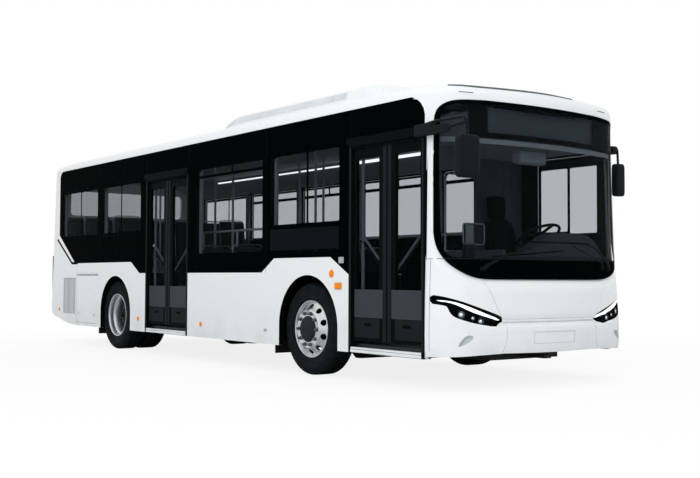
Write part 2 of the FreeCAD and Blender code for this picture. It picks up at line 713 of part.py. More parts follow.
def door_leaf(x_outer, x_meeting):
    """One leaf and its pane. x_outer is the hinged edge, x_meeting the free edge."""
    toward = 1.0 if x_meeting > x_outer else -1.0
    y0 = LEAF_FACE_Y
    y1 = y0 + LEAF_T
    top_z = DOOR_TOP_Z - DOOR_FRAME_W - MOVE_GAP
    xs = sorted((x_outer, x_meeting))
    slab = box(xs[0], xs[1], y0, y1, LEAF_LOW_Z, top_z)
    glass_xs = sorted((x_outer + toward * LEAF_STILE, x_meeting - toward * LEAF_MEETING_STILE))
    hole = rounded(glass_xs[0], glass_xs[1], LEAF_GLASS_LOW_Z, LEAF_GLASS_TOP_Z, "XZ",
                   y0 - 5.0, y1 + 5.0, 20.0, 20.0)
    pane_y = (y0 + y1 - SKIN) / 2.0
    pane = rounded(glass_xs[0], glass_xs[1], LEAF_GLASS_LOW_Z, LEAF_GLASS_TOP_Z, "XZ",
                   pane_y, pane_y + SKIN, 20.0, 20.0)
    pivot_x = x_outer + toward * LEAF_PIVOT_IN
    pivot_y = (y0 + y1) / 2.0
    root = 20.0
    pins = []
    for low_z, high_z in ((top_z - root, DOOR_TOP_Z - DOOR_FRAME_W - FIT),
                          (THRESHOLD_Z + FIT, LEAF_LOW_Z + root)):
        pins.append(rod(Vec(pivot_x, pivot_y, low_z), Vec(pivot_x, pivot_y, high_z), PIVOT_R))
    rail_r = 11.0
    rail_y = y1 + 2.0 * rail_r
    high = Vec(x_outer + toward * 78.0, rail_y, 1365.0)
    low = Vec(x_meeting - toward * 105.0, rail_y, 1075.0)
    rail = [rod(high, low, rail_r)]
    for end in (high, low):
        rail.append(rod(end, Vec(end.x, y1 - 5.0, end.z), rail_r))
    return fuse([slab.cut(hole)] + pins + rail), pane


def make_door_leaves():
    for name, (x0, x1) in DOORS.items():
        inner0 = x0 + DOOR_FRAME_W
        inner1 = x1 - DOOR_FRAME_W
        middle = (inner0 + inner1) / 2.0
        half_gap = MOVE_GAP / 2.0
        leaves = {
            "rear": (inner0 + LEAF_HINGE_GAP, middle - half_gap),
            "front": (inner1 - LEAF_HINGE_GAP, middle + half_gap),
        }
        for place, (outer, meeting) in leaves.items():
            leaf, pane = door_leaf(outer, meeting)
            save(name + "_door_" + place + "_leaf", leaf)
            save(name + "_door_" + place + "_glass", pane)


# ---- Floors and wheel boxes ----------------------------------------------------------------
def wheel_box_spans():
    """(x0, x1, inner wall y) of the hollow inside each pair of wheel boxes."""
    return [
        (FRONT_AXLE_X - FRONT_BOX_HALF, FRONT_AXLE_X + FRONT_BOX_HALF, FRONT_BOX_Y),
        (REAR_AXLE_X - REAR_BOX_BEHIND, REAR_AXLE_X + REAR_BOX_AHEAD, REAR_BOX_Y),
    ]


def wheel_box_blocks(grow, low_z):
    blocks = []
    for x0, x1, y in wheel_box_spans():
        for side in (1, -1):
            ys = sorted((side * (y - grow), side * INNER))
            blocks.append(box(x0 - grow, x1 + grow, ys[0], ys[1], low_z, BOX_TOP_Z + grow))
    return blocks


def make_wheel_boxes():
    low_z = LOW_FLOOR_Z - FLOOR_T
    slot_half = AXLE_TUBE_R + AXLE_TRAVEL
    slot = box(REAR_AXLE_X - slot_half, REAR_AXLE_X + slot_half, -INNER, INNER, low_z - 10.0,
               WHEEL_Z + slot_half)
    solids = []
    for outer, inner in zip(wheel_box_blocks(BOX_WALL, low_z), wheel_box_blocks(0.0, low_z - 10.0)):
        solids.append(cut(outer, [inner, slot]))
    save("wheel_boxes", Part.makeCompound(solids))


def make_floors():
    low_z = LOW_FLOOR_Z - FLOOR_T
    front_x = NOSE_X - 330.0
    low = box(RISER_X, front_x, -INNER, INNER, low_z, LOW_FLOOR_Z)
    frames = [box(x0, x1, -INNER - 10.0, -HALF + DOOR_FRAME_DEPTH, low_z - 10.0, LOW_FLOOR_Z + 10.0)
              for x0, x1 in DOORS.values()]
    low = cut(low.common(envelope(WALL)), frames + wheel_box_blocks(BOX_WALL, low_z - 10.0))
    save("low_floor", low)

    rear_wall = TAIL_X + 230.0
    slab = box(rear_wall, RISER_X, -INNER, INNER, HIGH_FLOOR_Z - FLOOR_T, HIGH_FLOOR_Z)
    riser = box(RISER_X - RISER_T, RISER_X, -INNER, INNER, low_z, HIGH_FLOOR_Z)
    step = box(RISER_X, RISER_X + 330.0, -300.0, 300.0, LOW_FLOOR_Z, (LOW_FLOOR_Z + HIGH_FLOOR_Z) / 2)
    high = cut(fuse([slab, riser, step]), wheel_box_blocks(BOX_WALL, low_z - 10.0))
    save("high_floor", high)


# ---- Chassis, axles and units ----------------------------------------------------------------
def make_chassis():
    """Ladder of straight members butted together, low ahead of the riser and high behind it."""
    front_x = NOSE_X - 420.0
    rear_x = TAIL_X + 230.0
    rise_x = HIGH_RAIL_START_X + BEAM_W
    rail_in = RAIL_Y - RAIL_W / 2
    rail_out = RAIL_Y + RAIL_W / 2
    reach = HALF - UNIT_IN
    members = []
    for y0, y1 in ((rail_in, rail_out), (-rail_out, -rail_in)):
        members.append(box(HIGH_RAIL_START_X, front_x, y0, y1, LOW_RAIL_Z[0], LOW_RAIL_Z[1]))
        members.append(box(HIGH_RAIL_START_X, rise_x, y0, y1, LOW_RAIL_Z[1], HIGH_RAIL_Z[0]))
        members.append(box(rear_x, rise_x, y0, y1, HIGH_RAIL_Z[0], HIGH_RAIL_Z[1]))
    for x in (rear_x, ENGINE_X[0] + 640.0, ENGINE_X[1] - BEAM_W, REAR_AXLE_X - 700.0):
        members.append(box(x, x + BEAM_W, -reach, reach, HIGH_RAIL_Z[1], HIGH_FLOOR_Z - FLOOR_T))
    low_z = LOW_RAIL_Z[1] - BEAM_H
    for x in (REAR_DOOR[0] - 30.0, REAR_DOOR[1] - 30.0, TANK_BEAM_X[0], TANK_BEAM_X[1],
              FRONT_DOOR[0] - BEAM_W, FRONT_DOOR[1] - 130.0):
        for y0, y1 in ((-reach, -rail_out), (-rail_in, rail_in), (rail_out, reach)):
            members.append(box(x, x + BEAM_W, y0, y1, low_z, LOW_RAIL_Z[1]))
    members.append(box(front_x - BEAM_W, front_x, -rail_in, rail_in, LOW_RAIL_Z[0], LOW_RAIL_Z[1]))
    tongue = box(front_x, TOW_EYE_X + 50.0, -45.0, 45.0, TOW_EYE_Z[0], TOW_EYE_Z[1])
    eye = Part.makeCylinder(TOW_EYE_R, 100.0, Vec(TOW_EYE_X, 0, TOW_EYE_Z[0] - 50.0))
    members.append(tongue.cut(eye))
    save("chassis_frame", Part.makeCompound(members))
    save("engine_block", box(ENGINE_X[0], ENGINE_X[1], -rail_in, rail_in, ENGINE_Z[0], ENGINE_Z[1]))


def make_front_axle():
    """Drop-centre beam with an eye for each kingpin."""
    half_w = 55.0
    drop_y = KINGPIN_Y - 390.0
    eye_r = 40.0
    eye_z = (WHEEL_Z - 72.0, WHEEL_Z + 72.0)
    x0 = FRONT_AXLE_X - half_w
    pieces = [box(x0, x0 + 2 * half_w, -drop_y, drop_y, AXLE_BEAM_Z[0], AXLE_BEAM_Z[1])]
    for side in (1, -1):
        arm = [
            (side * (drop_y - 60.0), AXLE_BEAM_Z[0]),
            (side * (drop_y + 20.0), AXLE_BEAM_Z[0]),
            (side * (KINGPIN_Y - 110.0), eye_z[0] + 20.0),
            (side * (KINGPIN_Y - 20.0), eye_z[0] + 20.0),
            (side * (KINGPIN_Y - 20.0), eye_z[1] - 20.0),
            (side * (KINGPIN_Y - 110.0), eye_z[1] - 20.0),
            (side * (drop_y - 60.0), AXLE_BEAM_Z[1]),
        ]
        pieces.append(prism(arm, "YZ", FRONT_AXLE_X - 38.0, FRONT_AXLE_X + 38.0))
        centre = Vec(FRONT_AXLE_X, side * KINGPIN_Y, eye_z[0])
        pieces.append(Part.makeCylinder(eye_r, eye_z[1] - eye_z[0], centre))
    beam = fuse(pieces)
    for side in (1, -1):
        foot = Vec(FRONT_AXLE_X, side * KINGPIN_Y, WHEEL_Z - 200.0)
        beam = beam.cut(Part.makeCylinder(KINGPIN_R + FIT, 400.0, foot))
    save("front_axle", beam)


def make_knuckle(side):
    """Fork round the kingpin eye, with the stub that carries the wheel."""
    inner_y = KINGPIN_Y - 45.0
    web_y = KINGPIN_Y + 48.0
    lug_half = 42.0
    gap = 72.0 + FIT
    lug_t = 34.0

    def part_box(x0, x1, y0, y1, z0, z1):
        ys = sorted((side * y0, side * y1))
        return box(x0, x1, ys[0], ys[1], z0, z1)

    x = FRONT_AXLE_X
    pieces = [
        part_box(x - lug_half, x + lug_half, inner_y, web_y + 20.0, WHEEL_Z + gap, WHEEL_Z + gap + lug_t),
        part_box(x - lug_half, x + lug_half, inner_y, web_y + 20.0, WHEEL_Z - gap - lug_t, WHEEL_Z - gap),
        part_box(x - lug_half, x + lug_half, web_y, web_y + 20.0, WHEEL_Z - gap - 5.0, WHEEL_Z + gap + 5.0),
        Part.makeCylinder(KINGPIN_R, 2 * (gap + lug_t) - 10.0,
                          Vec(x, side * KINGPIN_Y, WHEEL_Z - gap - lug_t + 5.0)),
        rod(Vec(x, side * (web_y + 10.0), WHEEL_Z), Vec(x, side * (TRACK_Y + 102.5), WHEEL_Z), SPINDLE_R),
    ]
    save(("left" if side > 0 else "right") + "_knuckle", fuse(pieces))


def make_rear_axle():
    """Tube with the final drive's housing, and a stub in each twin wheel."""
    x = REAR_AXLE_X
    tube_y = TRACK_Y - 487.5
    stub_y = TRACK_Y + 72.5
    tube = rod(Vec(x, -tube_y, WHEEL_Z), Vec(x, tube_y, WHEEL_Z), AXLE_TUBE_R)
    stub = rod(Vec(x, -stub_y, WHEEL_Z), Vec(x, stub_y, WHEEL_Z), SPINDLE_R)
    bulge = Part.makeSphere(190.0, Vec(x, 0, WHEEL_Z))
    nose = rod(Vec(x, 0, WHEEL_Z), Vec(x - 330.0, 0, WHEEL_Z + 20.0), 80.0)
    pads = [box(x - 350.0, x + 350.0, side * RAIL_Y - 45.0, side * RAIL_Y + 45.0,
                WHEEL_Z - 40.0, WHEEL_Z + 30.0) for side in (1, -1)]
    save("rear_axle", fuse([tube, stub, bulge, nose] + pads))


def make_air_springs():
    """Bellows between the axles and the frame."""
    solids = []
    for side in (1, -1):
        low_z = AXLE_BEAM_Z[1]
        solids.append(Part.makeCylinder(80.0, LOW_FLOOR_Z - FLOOR_T - low_z,
                                        Vec(FRONT_AXLE_X, side * (RAIL_Y - 145.0), low_z)))
        for dx in (-270.0, 270.0):
            low_z = WHEEL_Z + 30.0
            solids.append(Part.makeCylinder(95.0, HIGH_RAIL_Z[0] - low_z,
                                            Vec(REAR_AXLE_X + dx, side * RAIL_Y, low_z)))
    save("air_springs", Part.makeCompound(solids))


def make_underbody_units():
    """Radiator and fuel tank beside the engine, batteries, and air tanks under the floor."""
    hang_z = HIGH_RAIL_Z[1]
    outer_y = HALF - UNIT_IN - 30.0
    radiator = box(GRILLE_X[0] + 10.0, GRILLE_X[1] - 10.0, -INNER + 45.0, -HALF + 395.0, 470.0, hang_z)
    tank = box(ENGINE_X[0] + 560.0, ENGINE_X[1] - 20.0, outer_y - 570.0, outer_y, 430.0, hang_z)
    low_top = LOW_FLOOR_Z - FLOOR_T
    batteries = box(FRONT_AXLE_X - 1500.0, FRONT_AXLE_X - 800.0, outer_y - 430.0, outer_y,
                    low_top - 130.0, low_top)
    air_r = 75.0
    air_x0 = TANK_BEAM_X[0] + BEAM_W + 30.0
    air_x1 = TANK_BEAM_X[1] - 30.0
    strap_w = 40.0
    air_z = low_top - air_r
    air_tanks = []
    for y in (-200.0, 60.0):
        tube = rod(Vec(air_x0, y, air_z), Vec(air_x1, y, air_z), air_r)
        straps = [box(x, x + strap_w, y - air_r, y + air_r, air_z, low_top)
                  for x in (air_x0 + 60.0, air_x1 - 60.0 - strap_w)]
        air_tanks.append(fuse([tube] + straps))
    save("underbody_units", Part.makeCompound([radiator, tank, batteries] + air_tanks))


def make_mudflaps():
    floor_z = LOW_FLOOR_Z - FLOOR_T
    flaps = [
        # front face, top: under the low floor, and up the back of the rear wheel boxes
        (FRONT_AXLE_X - FRONT_BOX_HALF - BOX_WALL, floor_z),
        (REAR_AXLE_X - REAR_BOX_BEHIND - BOX_WALL, floor_z + 60.0),
    ]
    solids = []
    for x, top_z in flaps:
        for side in (1, -1):
            ys = sorted((side * (TRACK_Y - TYRE_W / 2.0), side * (INNER - 5.0)))
            solids.append(box(x - 6.0, x, ys[0], ys[1], 190.0, top_z))
    save("mudflaps", Part.makeCompound(solids))


# ---- Wheels --------------------------------------------------------------------------------
def tyre_at(x, y):
    h = TYRE_W / 2.0
    profile = [
        (RIM_SEAT_R, -h + 32.0),
        (RIM_FLANGE_R + 6.0, -h + 22.0),
        (RIM_FLANGE_R + 80.0, -h),
        (TYRE_R - 40.0, -h + 8.0),
        (TYRE_R - 8.0, -h + 24.0),
        (TYRE_R, -h + 44.0),
        (TYRE_R, h - 44.0),
        (TYRE_R - 8.0, h - 24.0),
        (TYRE_R - 40.0, h - 8.0),
        (RIM_FLANGE_R + 80.0, h),
        (RIM_FLANGE_R + 6.0, h - 22.0),
        (RIM_SEAT_R, h - 32.0),
    ]
    return lathe([profile], Vec(x, y, WHEEL_Z), Vec(0, 1, 0))


def rim_outlines(at, sense, disc_out):
    """Barrel and disc of one rim, as (radius, along) outlines. The tyre's centre is at `at`,
    and the disc is set disc_out from it, in the direction of sense (1 or -1). Both outlines
    run the same way round, whichever the sense."""
    h = TYRE_W / 2.0
    barrel = [
        (RIM_SEAT_R, -h + 32.0),
        (RIM_SEAT_R, h - 32.0),
        (RIM_FLANGE_R, h - 24.0),
        (RIM_FLANGE_R - 4.0, h - 18.0),
        (RIM_SEAT_R - 12.0, h - 30.0),
        (RIM_SEAT_R - 14.0, -h + 30.0),
        (RIM_FLANGE_R - 4.0, -h + 18.0),
        (RIM_FLANGE_R, -h + 24.0),
    ]
    disc = [
        (HUB_BORE_R, disc_out - 40.0),
        (170.0, disc_out - 14.0),
        (RIM_SEAT_R - 8.0, disc_out - 44.0),
        (RIM_SEAT_R - 8.0, disc_out - 28.0),
        (175.0, disc_out),
        (110.0, disc_out),
        (90.0, disc_out + 30.0),
        (HUB_BORE_R, disc_out + 34.0),
    ]
    return [[(r, at + sense * a) for r, a in outline[::sense]] for outline in (barrel, disc)]


def turned_rim(x, side, outlines):
    """Rims turned from their outlines, with hand holes through every disc."""
    centre = Vec(x, side * TRACK_Y, WHEEL_Z)
    hole_count = 10
    hole_ring_r = 222.0
    hole_r = 26.0
    reach = TWIN_PITCH + TYRE_W
    holes = []
    for i in range(hole_count):
        angle = 2 * math.pi * i / hole_count
        middle = centre + Vec(hole_ring_r * math.cos(angle), 0, hole_ring_r * math.sin(angle))
        holes.append(rod(middle - Vec(0, reach, 0), middle + Vec(0, reach, 0), hole_r))
    return cut(lathe(outlines, centre, Vec(0, side, 0)), holes)


def make_wheels():
    """The twin rims share one hub drum between their discs."""
    twin_disc_out = -70.0
    hub_root = 60.0
    hub_r = 130.0
    hub = [
        (HUB_BORE_R, -TWIN_PITCH + hub_root),
        (hub_r, -TWIN_PITCH + hub_root),
        (hub_r, -hub_root),
        (HUB_BORE_R, -hub_root),
    ]
    single = rim_outlines(0.0, 1, 62.0)
    twin = rim_outlines(0.0, 1, twin_disc_out) + rim_outlines(-TWIN_PITCH, -1, twin_disc_out)
    for side, name in ((1, "left"), (-1, "right")):
        save(name + "_front_tyre", tyre_at(FRONT_AXLE_X, side * TRACK_Y))
        save(name + "_front_rim", turned_rim(FRONT_AXLE_X, side, single))
        tyres = [tyre_at(REAR_AXLE_X, side * y) for y in (TRACK_Y, TRACK_Y - TWIN_PITCH)]
        save(name + "_rear_tyres", Part.makeCompound(tyres))
        save(name + "_rear_rims", turned_rim(REAR_AXLE_X, side, twin + [hub]))


# ---- Inside --------------------------------------------------------------------------------
def seat_at(x, y, floor_z):
    """City seat facing forward: shell, back and a pedestal."""
    width = 430.0
    grip_r = 12.0
    seat_z = floor_z + 440.0
    cushion = box(x - 200.0, x + 210.0, y - width / 2, y + width / 2, seat_z - 45.0, seat_z)
    back = prism([(x - 200.0, seat_z - 45.0), (x - 140.0, seat_z - 45.0), (x - 190.0, seat_z + 560.0),
                  (x - 240.0, seat_z + 560.0)], "XZ", y - width / 2, y + width / 2)
    leg = box(x - 60.0, x + 60.0, y - 40.0, y + 40.0, floor_z, seat_z - 40.0)
    grip_x = x - 214.0
    grip_z = seat_z + 590.0
    grip_ys = (y - width / 2 + 60.0, y + width / 2 - 60.0)
    grip = rod(Vec(grip_x, grip_ys[0], grip_z), Vec(grip_x, grip_ys[1], grip_z), grip_r)
    posts = [rod(Vec(grip_x, post_y, grip_z - 60.0), Vec(grip_x, post_y, grip_z), grip_r)
             for post_y in grip_ys]
    return fuse([cushion, back, leg, grip] + posts)


def row_places(start, end):
    """As many seat rows as fit from start to end at no less than SEAT_PITCH."""
    count = 1 + int((end - start) // SEAT_PITCH)
    return [start + i * (end - start) / max(count - 1, 1) for i in range(count)]


def make_seats():
    window_y = HALF - 290.0
    aisle_y = window_y - 455.0
    box_seat_y = HALF - 395.0
    solids = []
    for x in row_places(RISER_X + 930.0, FRONT_AXLE_X - 1450.0):
        for y in (window_y, aisle_y):
            solids.append(seat_at(x, y, LOW_FLOOR_Z))
    for x in row_places(REAR_DOOR[1] + 488.0, FRONT_AXLE_X - 1350.0):
        solids.append(seat_at(x, -window_y, LOW_FLOOR_Z))
    for x in (REAR_AXLE_X - 950.0, REAR_AXLE_X - 1650.0):
        for y in (window_y, aisle_y, -aisle_y, -window_y):
            solids.append(seat_at(x, y, HIGH_FLOOR_Z))
    for y in (box_seat_y, -box_seat_y):
        solids.append(seat_at(REAR_AXLE_X - 120.0, y, BOX_TOP_Z + BOX_WALL))
    save("passenger_seats", Part.makeCompound(solids))


def make_handrails():
    """Upright poles from floor to ceiling, and lengths of rail clamped between them."""
    pole_r = 16.0
    pole_y = HALF - 978.0
    rail_z = 2080.0
    feet = [
        (REAR_AXLE_X - 500.0, HIGH_FLOOR_Z),
        (RISER_X + 580.0, LOW_FLOOR_Z),
        (RISER_X + 1430.0, LOW_FLOOR_Z),
        (FRONT_AXLE_X - 1750.0, LOW_FLOOR_Z),
        (FRONT_AXLE_X - 950.0, LOW_FLOOR_Z),
    ]
    solids = []
    for y in (pole_y, -pole_y):
        poles = [rod(Vec(x, y, foot_z), Vec(x, y, CEILING_Z), pole_r) for x, foot_z in feet]
        solids += poles
        for (x0, _), (x1, _) in zip(feet, feet[1:]):
            solids.append(cut(rod(Vec(x0, y, rail_z), Vec(x1, y, rail_z), pole_r - 1.0), poles))
    save("handrails", Part.makeCompound(solids))


def make_cab():
    """Driver's seat, dashboard, steering wheel and the partition behind the driver."""
    seat_x = FRONT_AXLE_X + 1060.0
    seat_y = CAB_Y
    cushion = box(seat_x - 230.0, seat_x + 260.0, seat_y - 240.0, seat_y + 240.0, 1000.0, 1110.0)
    back = prism([(seat_x - 230.0, 1010.0), (seat_x - 110.0, 1010.0), (seat_x - 215.0, 1700.0),
                  (seat_x - 305.0, 1700.0)], "XZ", seat_y - 230.0, seat_y + 230.0)
    head = box(seat_x - 320.0, seat_x - 230.0, seat_y - 130.0, seat_y + 130.0, 1690.0, 1890.0)
    pedestal = box(seat_x - 150.0, seat_x + 150.0, seat_y - 140.0, seat_y + 140.0, PLATFORM_Z, 1010.0)
    save("drivers_seat", fuse([cushion, back, head, pedestal]))

    dash_x = NOSE_X - 620.0
    dash_end_y = -560.0
    shelf_x = NOSE_X - 420.0
    inner = envelope(WALL + 8.0)
    dash = prism([(dash_x, PLATFORM_Z), (dash_x + 60.0, 1080.0), (shelf_x, 1190.0),
                  (NOSE_X - 230.0, 1130.0), (NOSE_X - 150.0, 960.0), (shelf_x, PLATFORM_Z)],
                 "XZ", dash_end_y, INNER - 95.0)
    foot = box(dash_x, shelf_x, dash_end_y + 40.0, -PARTITION_Y, LOW_FLOOR_Z, PLATFORM_Z + 5.0)
    dash = fuse([dash, foot]).common(inner)
    platform = box(PARTITION_X + 40.0, shelf_x, -PARTITION_Y, INNER, LOW_FLOOR_Z, PLATFORM_Z)
    platform = platform.common(inner)
    column = rod(STEER_HUB.sub(STEER_AXIS * 540.0), STEER_HUB.sub(STEER_AXIS * (20.0 + FIT)), 30.0)
    save("dashboard", fuse([dash, platform, column]))

    ring = Part.makeTorus(225.0, 15.0, Vec(0, 0, 0), Vec(0, 0, 1))
    boss = Part.makeCylinder(55.0, 40.0, Vec(0, 0, -20.0))
    spokes = [box(-220.0, 220.0, -18.0, 18.0, -8.0, 8.0), box(-20.0, 20.0, -220.0, 0.0, -8.0, 8.0)]
    wheel = fuse([ring, boss] + spokes)
    wheel.Placement = FreeCAD.Placement(STEER_HUB, FreeCAD.Rotation(Vec(0, 0, 1), STEER_AXIS))
    save("steering_wheel", wheel)

    wall_t = 30.0
    back_wall = box(PARTITION_X, PARTITION_X + wall_t, PARTITION_Y, INNER - FIT, LOW_FLOOR_Z, 2140.0)
    door = box(PARTITION_X + wall_t, PARTITION_X + 900.0, PARTITION_Y, PARTITION_Y + wall_t,
               PLATFORM_Z, 1500.0)
    save("cab_partition", fuse([back_wall, door]))


def make_ceiling():
    """Liner under the roof with a duct along each side."""
    flat_y = INNER - 465.0
    section = [
        (-INNER + FIT, WINDOW_TOP_Z + 15.0),
        (-INNER + 60.0, WINDOW_TOP_Z + 15.0),
        (-flat_y, CEILING_Z),
        (flat_y, CEILING_Z),
        (INNER - 60.0, WINDOW_TOP_Z + 15.0),
        (INNER - FIT, WINDOW_TOP_Z + 15.0),
        (INNER - FIT, WINDOW_TOP_Z + 60.0),
        (flat_y + 10.0, CEILING_Z + LINER_T),
        (-flat_y - 10.0, CEILING_Z + LINER_T),
        (-INNER + FIT, WINDOW_TOP_Z + 60.0),
    ]
    liner = prism(section, "YZ", TAIL_X + 265.0, FRONT_SEAM_X - 170.0)
    front = box(FRONT_SEAM_X - 180.0, SIGN_X[0], -700.0, 700.0, CEILING_Z, CEILING_Z + LINER_T)
    save("ceiling", fuse([liner, front]))


def main():
    os.makedirs("parts", exist_ok=True)
    make_side_panels()
    make_grille()
    make_service_flap()
    make_roof()
    make_front()
    make_wipers()
    make_mirrors()
    make_destination_sign()
    make_rear()
    make_door_frames()
    make_door_leaves()
    make_wheel_boxes()
    make_floors()
    make_chassis()
    make_front_axle()
    for side in (1, -1):
        make_knuckle(side)
    make_rear_axle()
    make_air_springs()
    make_underbody_units()
    make_mudflaps()
    make_wheels()
    make_seats()
    make_handrails()
    make_cab()
    make_ceiling()


main()
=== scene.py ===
"""City bus: the finished surfaces, glazing, lamps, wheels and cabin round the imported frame.

Everything is in metres, in the frame's own axes: X forward, Y to the bus's left, Z up.
"""

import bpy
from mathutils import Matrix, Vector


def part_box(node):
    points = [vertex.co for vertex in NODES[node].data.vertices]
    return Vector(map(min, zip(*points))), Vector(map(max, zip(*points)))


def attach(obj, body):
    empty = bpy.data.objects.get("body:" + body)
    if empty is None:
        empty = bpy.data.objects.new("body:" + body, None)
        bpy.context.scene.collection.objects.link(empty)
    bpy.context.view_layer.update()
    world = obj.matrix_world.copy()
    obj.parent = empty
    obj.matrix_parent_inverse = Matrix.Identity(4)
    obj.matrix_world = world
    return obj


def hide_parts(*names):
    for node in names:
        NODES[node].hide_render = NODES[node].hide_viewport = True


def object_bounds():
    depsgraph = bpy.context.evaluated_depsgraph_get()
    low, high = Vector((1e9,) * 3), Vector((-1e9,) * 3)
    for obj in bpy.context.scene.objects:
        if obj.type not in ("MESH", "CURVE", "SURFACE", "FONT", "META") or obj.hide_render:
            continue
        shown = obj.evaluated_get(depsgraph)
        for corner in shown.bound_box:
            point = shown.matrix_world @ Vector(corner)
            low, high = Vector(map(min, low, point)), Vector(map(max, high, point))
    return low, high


bl_info = {
    "name": "City bus finish",
    "version": (1, 0, 0),
    "blender": (4, 5, 0),
    "location": "3D View > Sidebar > City bus",
    "description": "Builds a city bus's visible surfaces and finishes on its packed frame",
    "category": "Object",
}

import math

import bmesh
import bpy
import numpy as np
from bpy.props import FloatProperty, FloatVectorProperty, IntProperty, PointerProperty
from mathutils import Matrix, Vector
from mathutils.geometry import delaunay_2d_cdt

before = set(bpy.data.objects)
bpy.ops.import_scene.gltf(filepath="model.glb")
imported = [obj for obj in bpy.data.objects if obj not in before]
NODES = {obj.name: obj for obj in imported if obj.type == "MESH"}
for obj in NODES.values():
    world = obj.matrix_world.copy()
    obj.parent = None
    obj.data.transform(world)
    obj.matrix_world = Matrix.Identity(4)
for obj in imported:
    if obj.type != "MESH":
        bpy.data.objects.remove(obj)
CAD_LOW, CAD_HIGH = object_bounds()


def low(node):
    return np.array(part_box(node)[0])


def high(node):
    return np.array(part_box(node)[1])


def middle(node):
    return (low(node) + high(node)) / 2.0


# Places that the frame gives
NOSE = high("front_fascia")[0]
TAIL = low("rear_panel")[0]
HALF = high("left_skirt")[1]
FRONT_AXLE = middle("right_front_tyre")[0]
REAR_AXLE = middle("right_rear_tyres")[0]
WHEEL_Z = middle("right_front_tyre")[2]
TYRE_R = high("right_front_tyre")[2] - WHEEL_Z
FRONT_SEAM = low("front_fascia")[0]
EAVES = low("roof_shell")[2]
SILL = low("left_skirt")[2]
LOW_FLOOR = high("low_floor")[2]
HIGH_FLOOR = high("high_floor")[2]

# Plan of the front: a slow bow between two tight corners
BOW_R = 4.4
CORNER_R = 0.375
CORNER_Y = HALF - CORNER_R
TURN = math.asin(CORNER_Y / (BOW_R - CORNER_R))
BOW_S = BOW_R * TURN
CORNER_S = BOW_S + CORNER_R * (math.pi / 2.0 - TURN)


# ---- Small tools ---------------------------------------------------------------------------
def linear(hex_colour):
    """sRGB hex to a linear RGBA tuple."""
    parts = [int(hex_colour[i:i + 2], 16) / 255.0 for i in (1, 3, 5)]
    parts = [c / 12.92 if c <= 0.04045 else ((c + 0.055) / 1.055) ** 2.4 for c in parts]
    return (*parts, 1.0)


def add(tree, kind, inputs=None, **settings):
    """One node with its settings. An input given as a socket is linked, and any other is set."""
    node = tree.nodes.new(kind)
    for key, value in settings.items():
        setattr(node, key, value)
    for key, value in (inputs or {}).items():
        if isinstance(value, bpy.types.NodeSocket):
            tree.links.new(value, node.inputs[key])
        else:
            node.inputs[key].default_value = value
    return node


def new_material(name):
    material = bpy.data.materials.new(name)
    material.use_nodes = True
    material.node_tree.nodes.clear()
    return material, material.node_tree


def to_mesh(name, points, faces, sharp=35.0):
    """Object from an (n, 3) array of points and a list of face arrays (triangles or quads)."""
    mesh = bpy.data.meshes.new(name)
    points = np.asarray(points, float).reshape(-1, 3)
    loops = np.concatenate([np.asarray(f, np.int32).ravel() for f in faces if len(f)])
    sizes = np.concatenate([np.full(len(f), np.shape(f)[1], np.int32) for f in faces if len(f)])
    mesh.vertices.add(len(points))
    mesh.vertices.foreach_set("co", points.astype(np.float32).ravel())
    mesh.loops.add(len(loops))
    mesh.loops.foreach_set("vertex_index", loops)
    mesh.polygons.add(len(sizes))
    mesh.polygons.foreach_set("loop_start", np.concatenate([[0], np.cumsum(sizes)[:-1]]))
    mesh.update(calc_edges=True)
    mesh.validate()
    mesh.shade_smooth()
    mesh.set_sharp_from_angle(angle=math.radians(sharp))
    piece = bpy.data.objects.new(name, mesh)
    bpy.context.scene.collection.objects.link(piece)
    return piece


def outward(piece):
    """The piece with its doubles merged and every face turned to point outward."""
    mesh = bmesh.new()
    mesh.from_mesh(piece.data)
    bmesh.ops.remove_doubles(mesh, verts=mesh.verts, dist=1e-6)
    bmesh.ops.recalc_face_normals(mesh, faces=mesh.faces)
    mesh.to_mesh(piece.data)
    mesh.free()
    return piece


def joined(parts):
    """Several (points, faces) shapes as one. Faces are lists of index arrays."""
    points, faces, start = [], [], 0
    for own_points, own_faces in parts:
        own_points = np.asarray(own_points, float).reshape(-1, 3)
        points.append(own_points)
        faces += [np.asarray(f, int) + start for f in own_faces if len(f)]
        start += len(own_points)
    return np.concatenate(points), faces


def put(name, shapes, material, body="body", replaces=(), sharp=35.0, closed=True):
    """One finished piece of several (points, faces) shapes: its mesh, its finish by name, its body,
    and the CAD nodes that it stands for. Closed shapes are turned outward."""
    piece = to_mesh(name, *joined(shapes), sharp)
    if closed:
        outward(piece)
    piece.data.materials.append(FINISH[material])
    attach(piece, body)
    if replaces:
        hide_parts(*replaces)
    return piece


def grid_faces(rows, columns, wrap_rows=False, wrap_columns=False):
    """Quads of a rows x columns grid of points, wrapped round on itself where asked."""
    i = np.arange(rows if wrap_rows else rows - 1)
    j = np.arange(columns if wrap_columns else columns - 1)
    i, j = np.meshgrid(i, j, indexing="ij")
    i1 = (i + 1) % rows
    j1 = (j + 1) % columns
    quads = np.stack([i * columns + j, i1 * columns + j, i1 * columns + j1, i * columns + j1], -1)
    return quads.reshape(-1, 4)


def lathed(profile, centre, axis, across, count=96):
    """A closed (radius, along) outline turned about an axis: centre + along * axis + radius *
    (cos t * across + sin t * third). The outline runs round its material with that on its left."""
    profile = np.asarray(profile, float)
    axis = np.asarray(axis, float)
    across = np.asarray(across, float)
    third = np.cross(axis, across)
    t = np.linspace(0.0, 2.0 * math.pi, count, endpoint=False)[:, None, None]
    r = profile[None, :, 0, None]
    a = profile[None, :, 1, None]
    points = np.asarray(centre) + a * axis + r * (np.cos(t) * across + np.sin(t) * third)
    return points.reshape(-1, 3), [grid_faces(count, len(profile), True, True)]


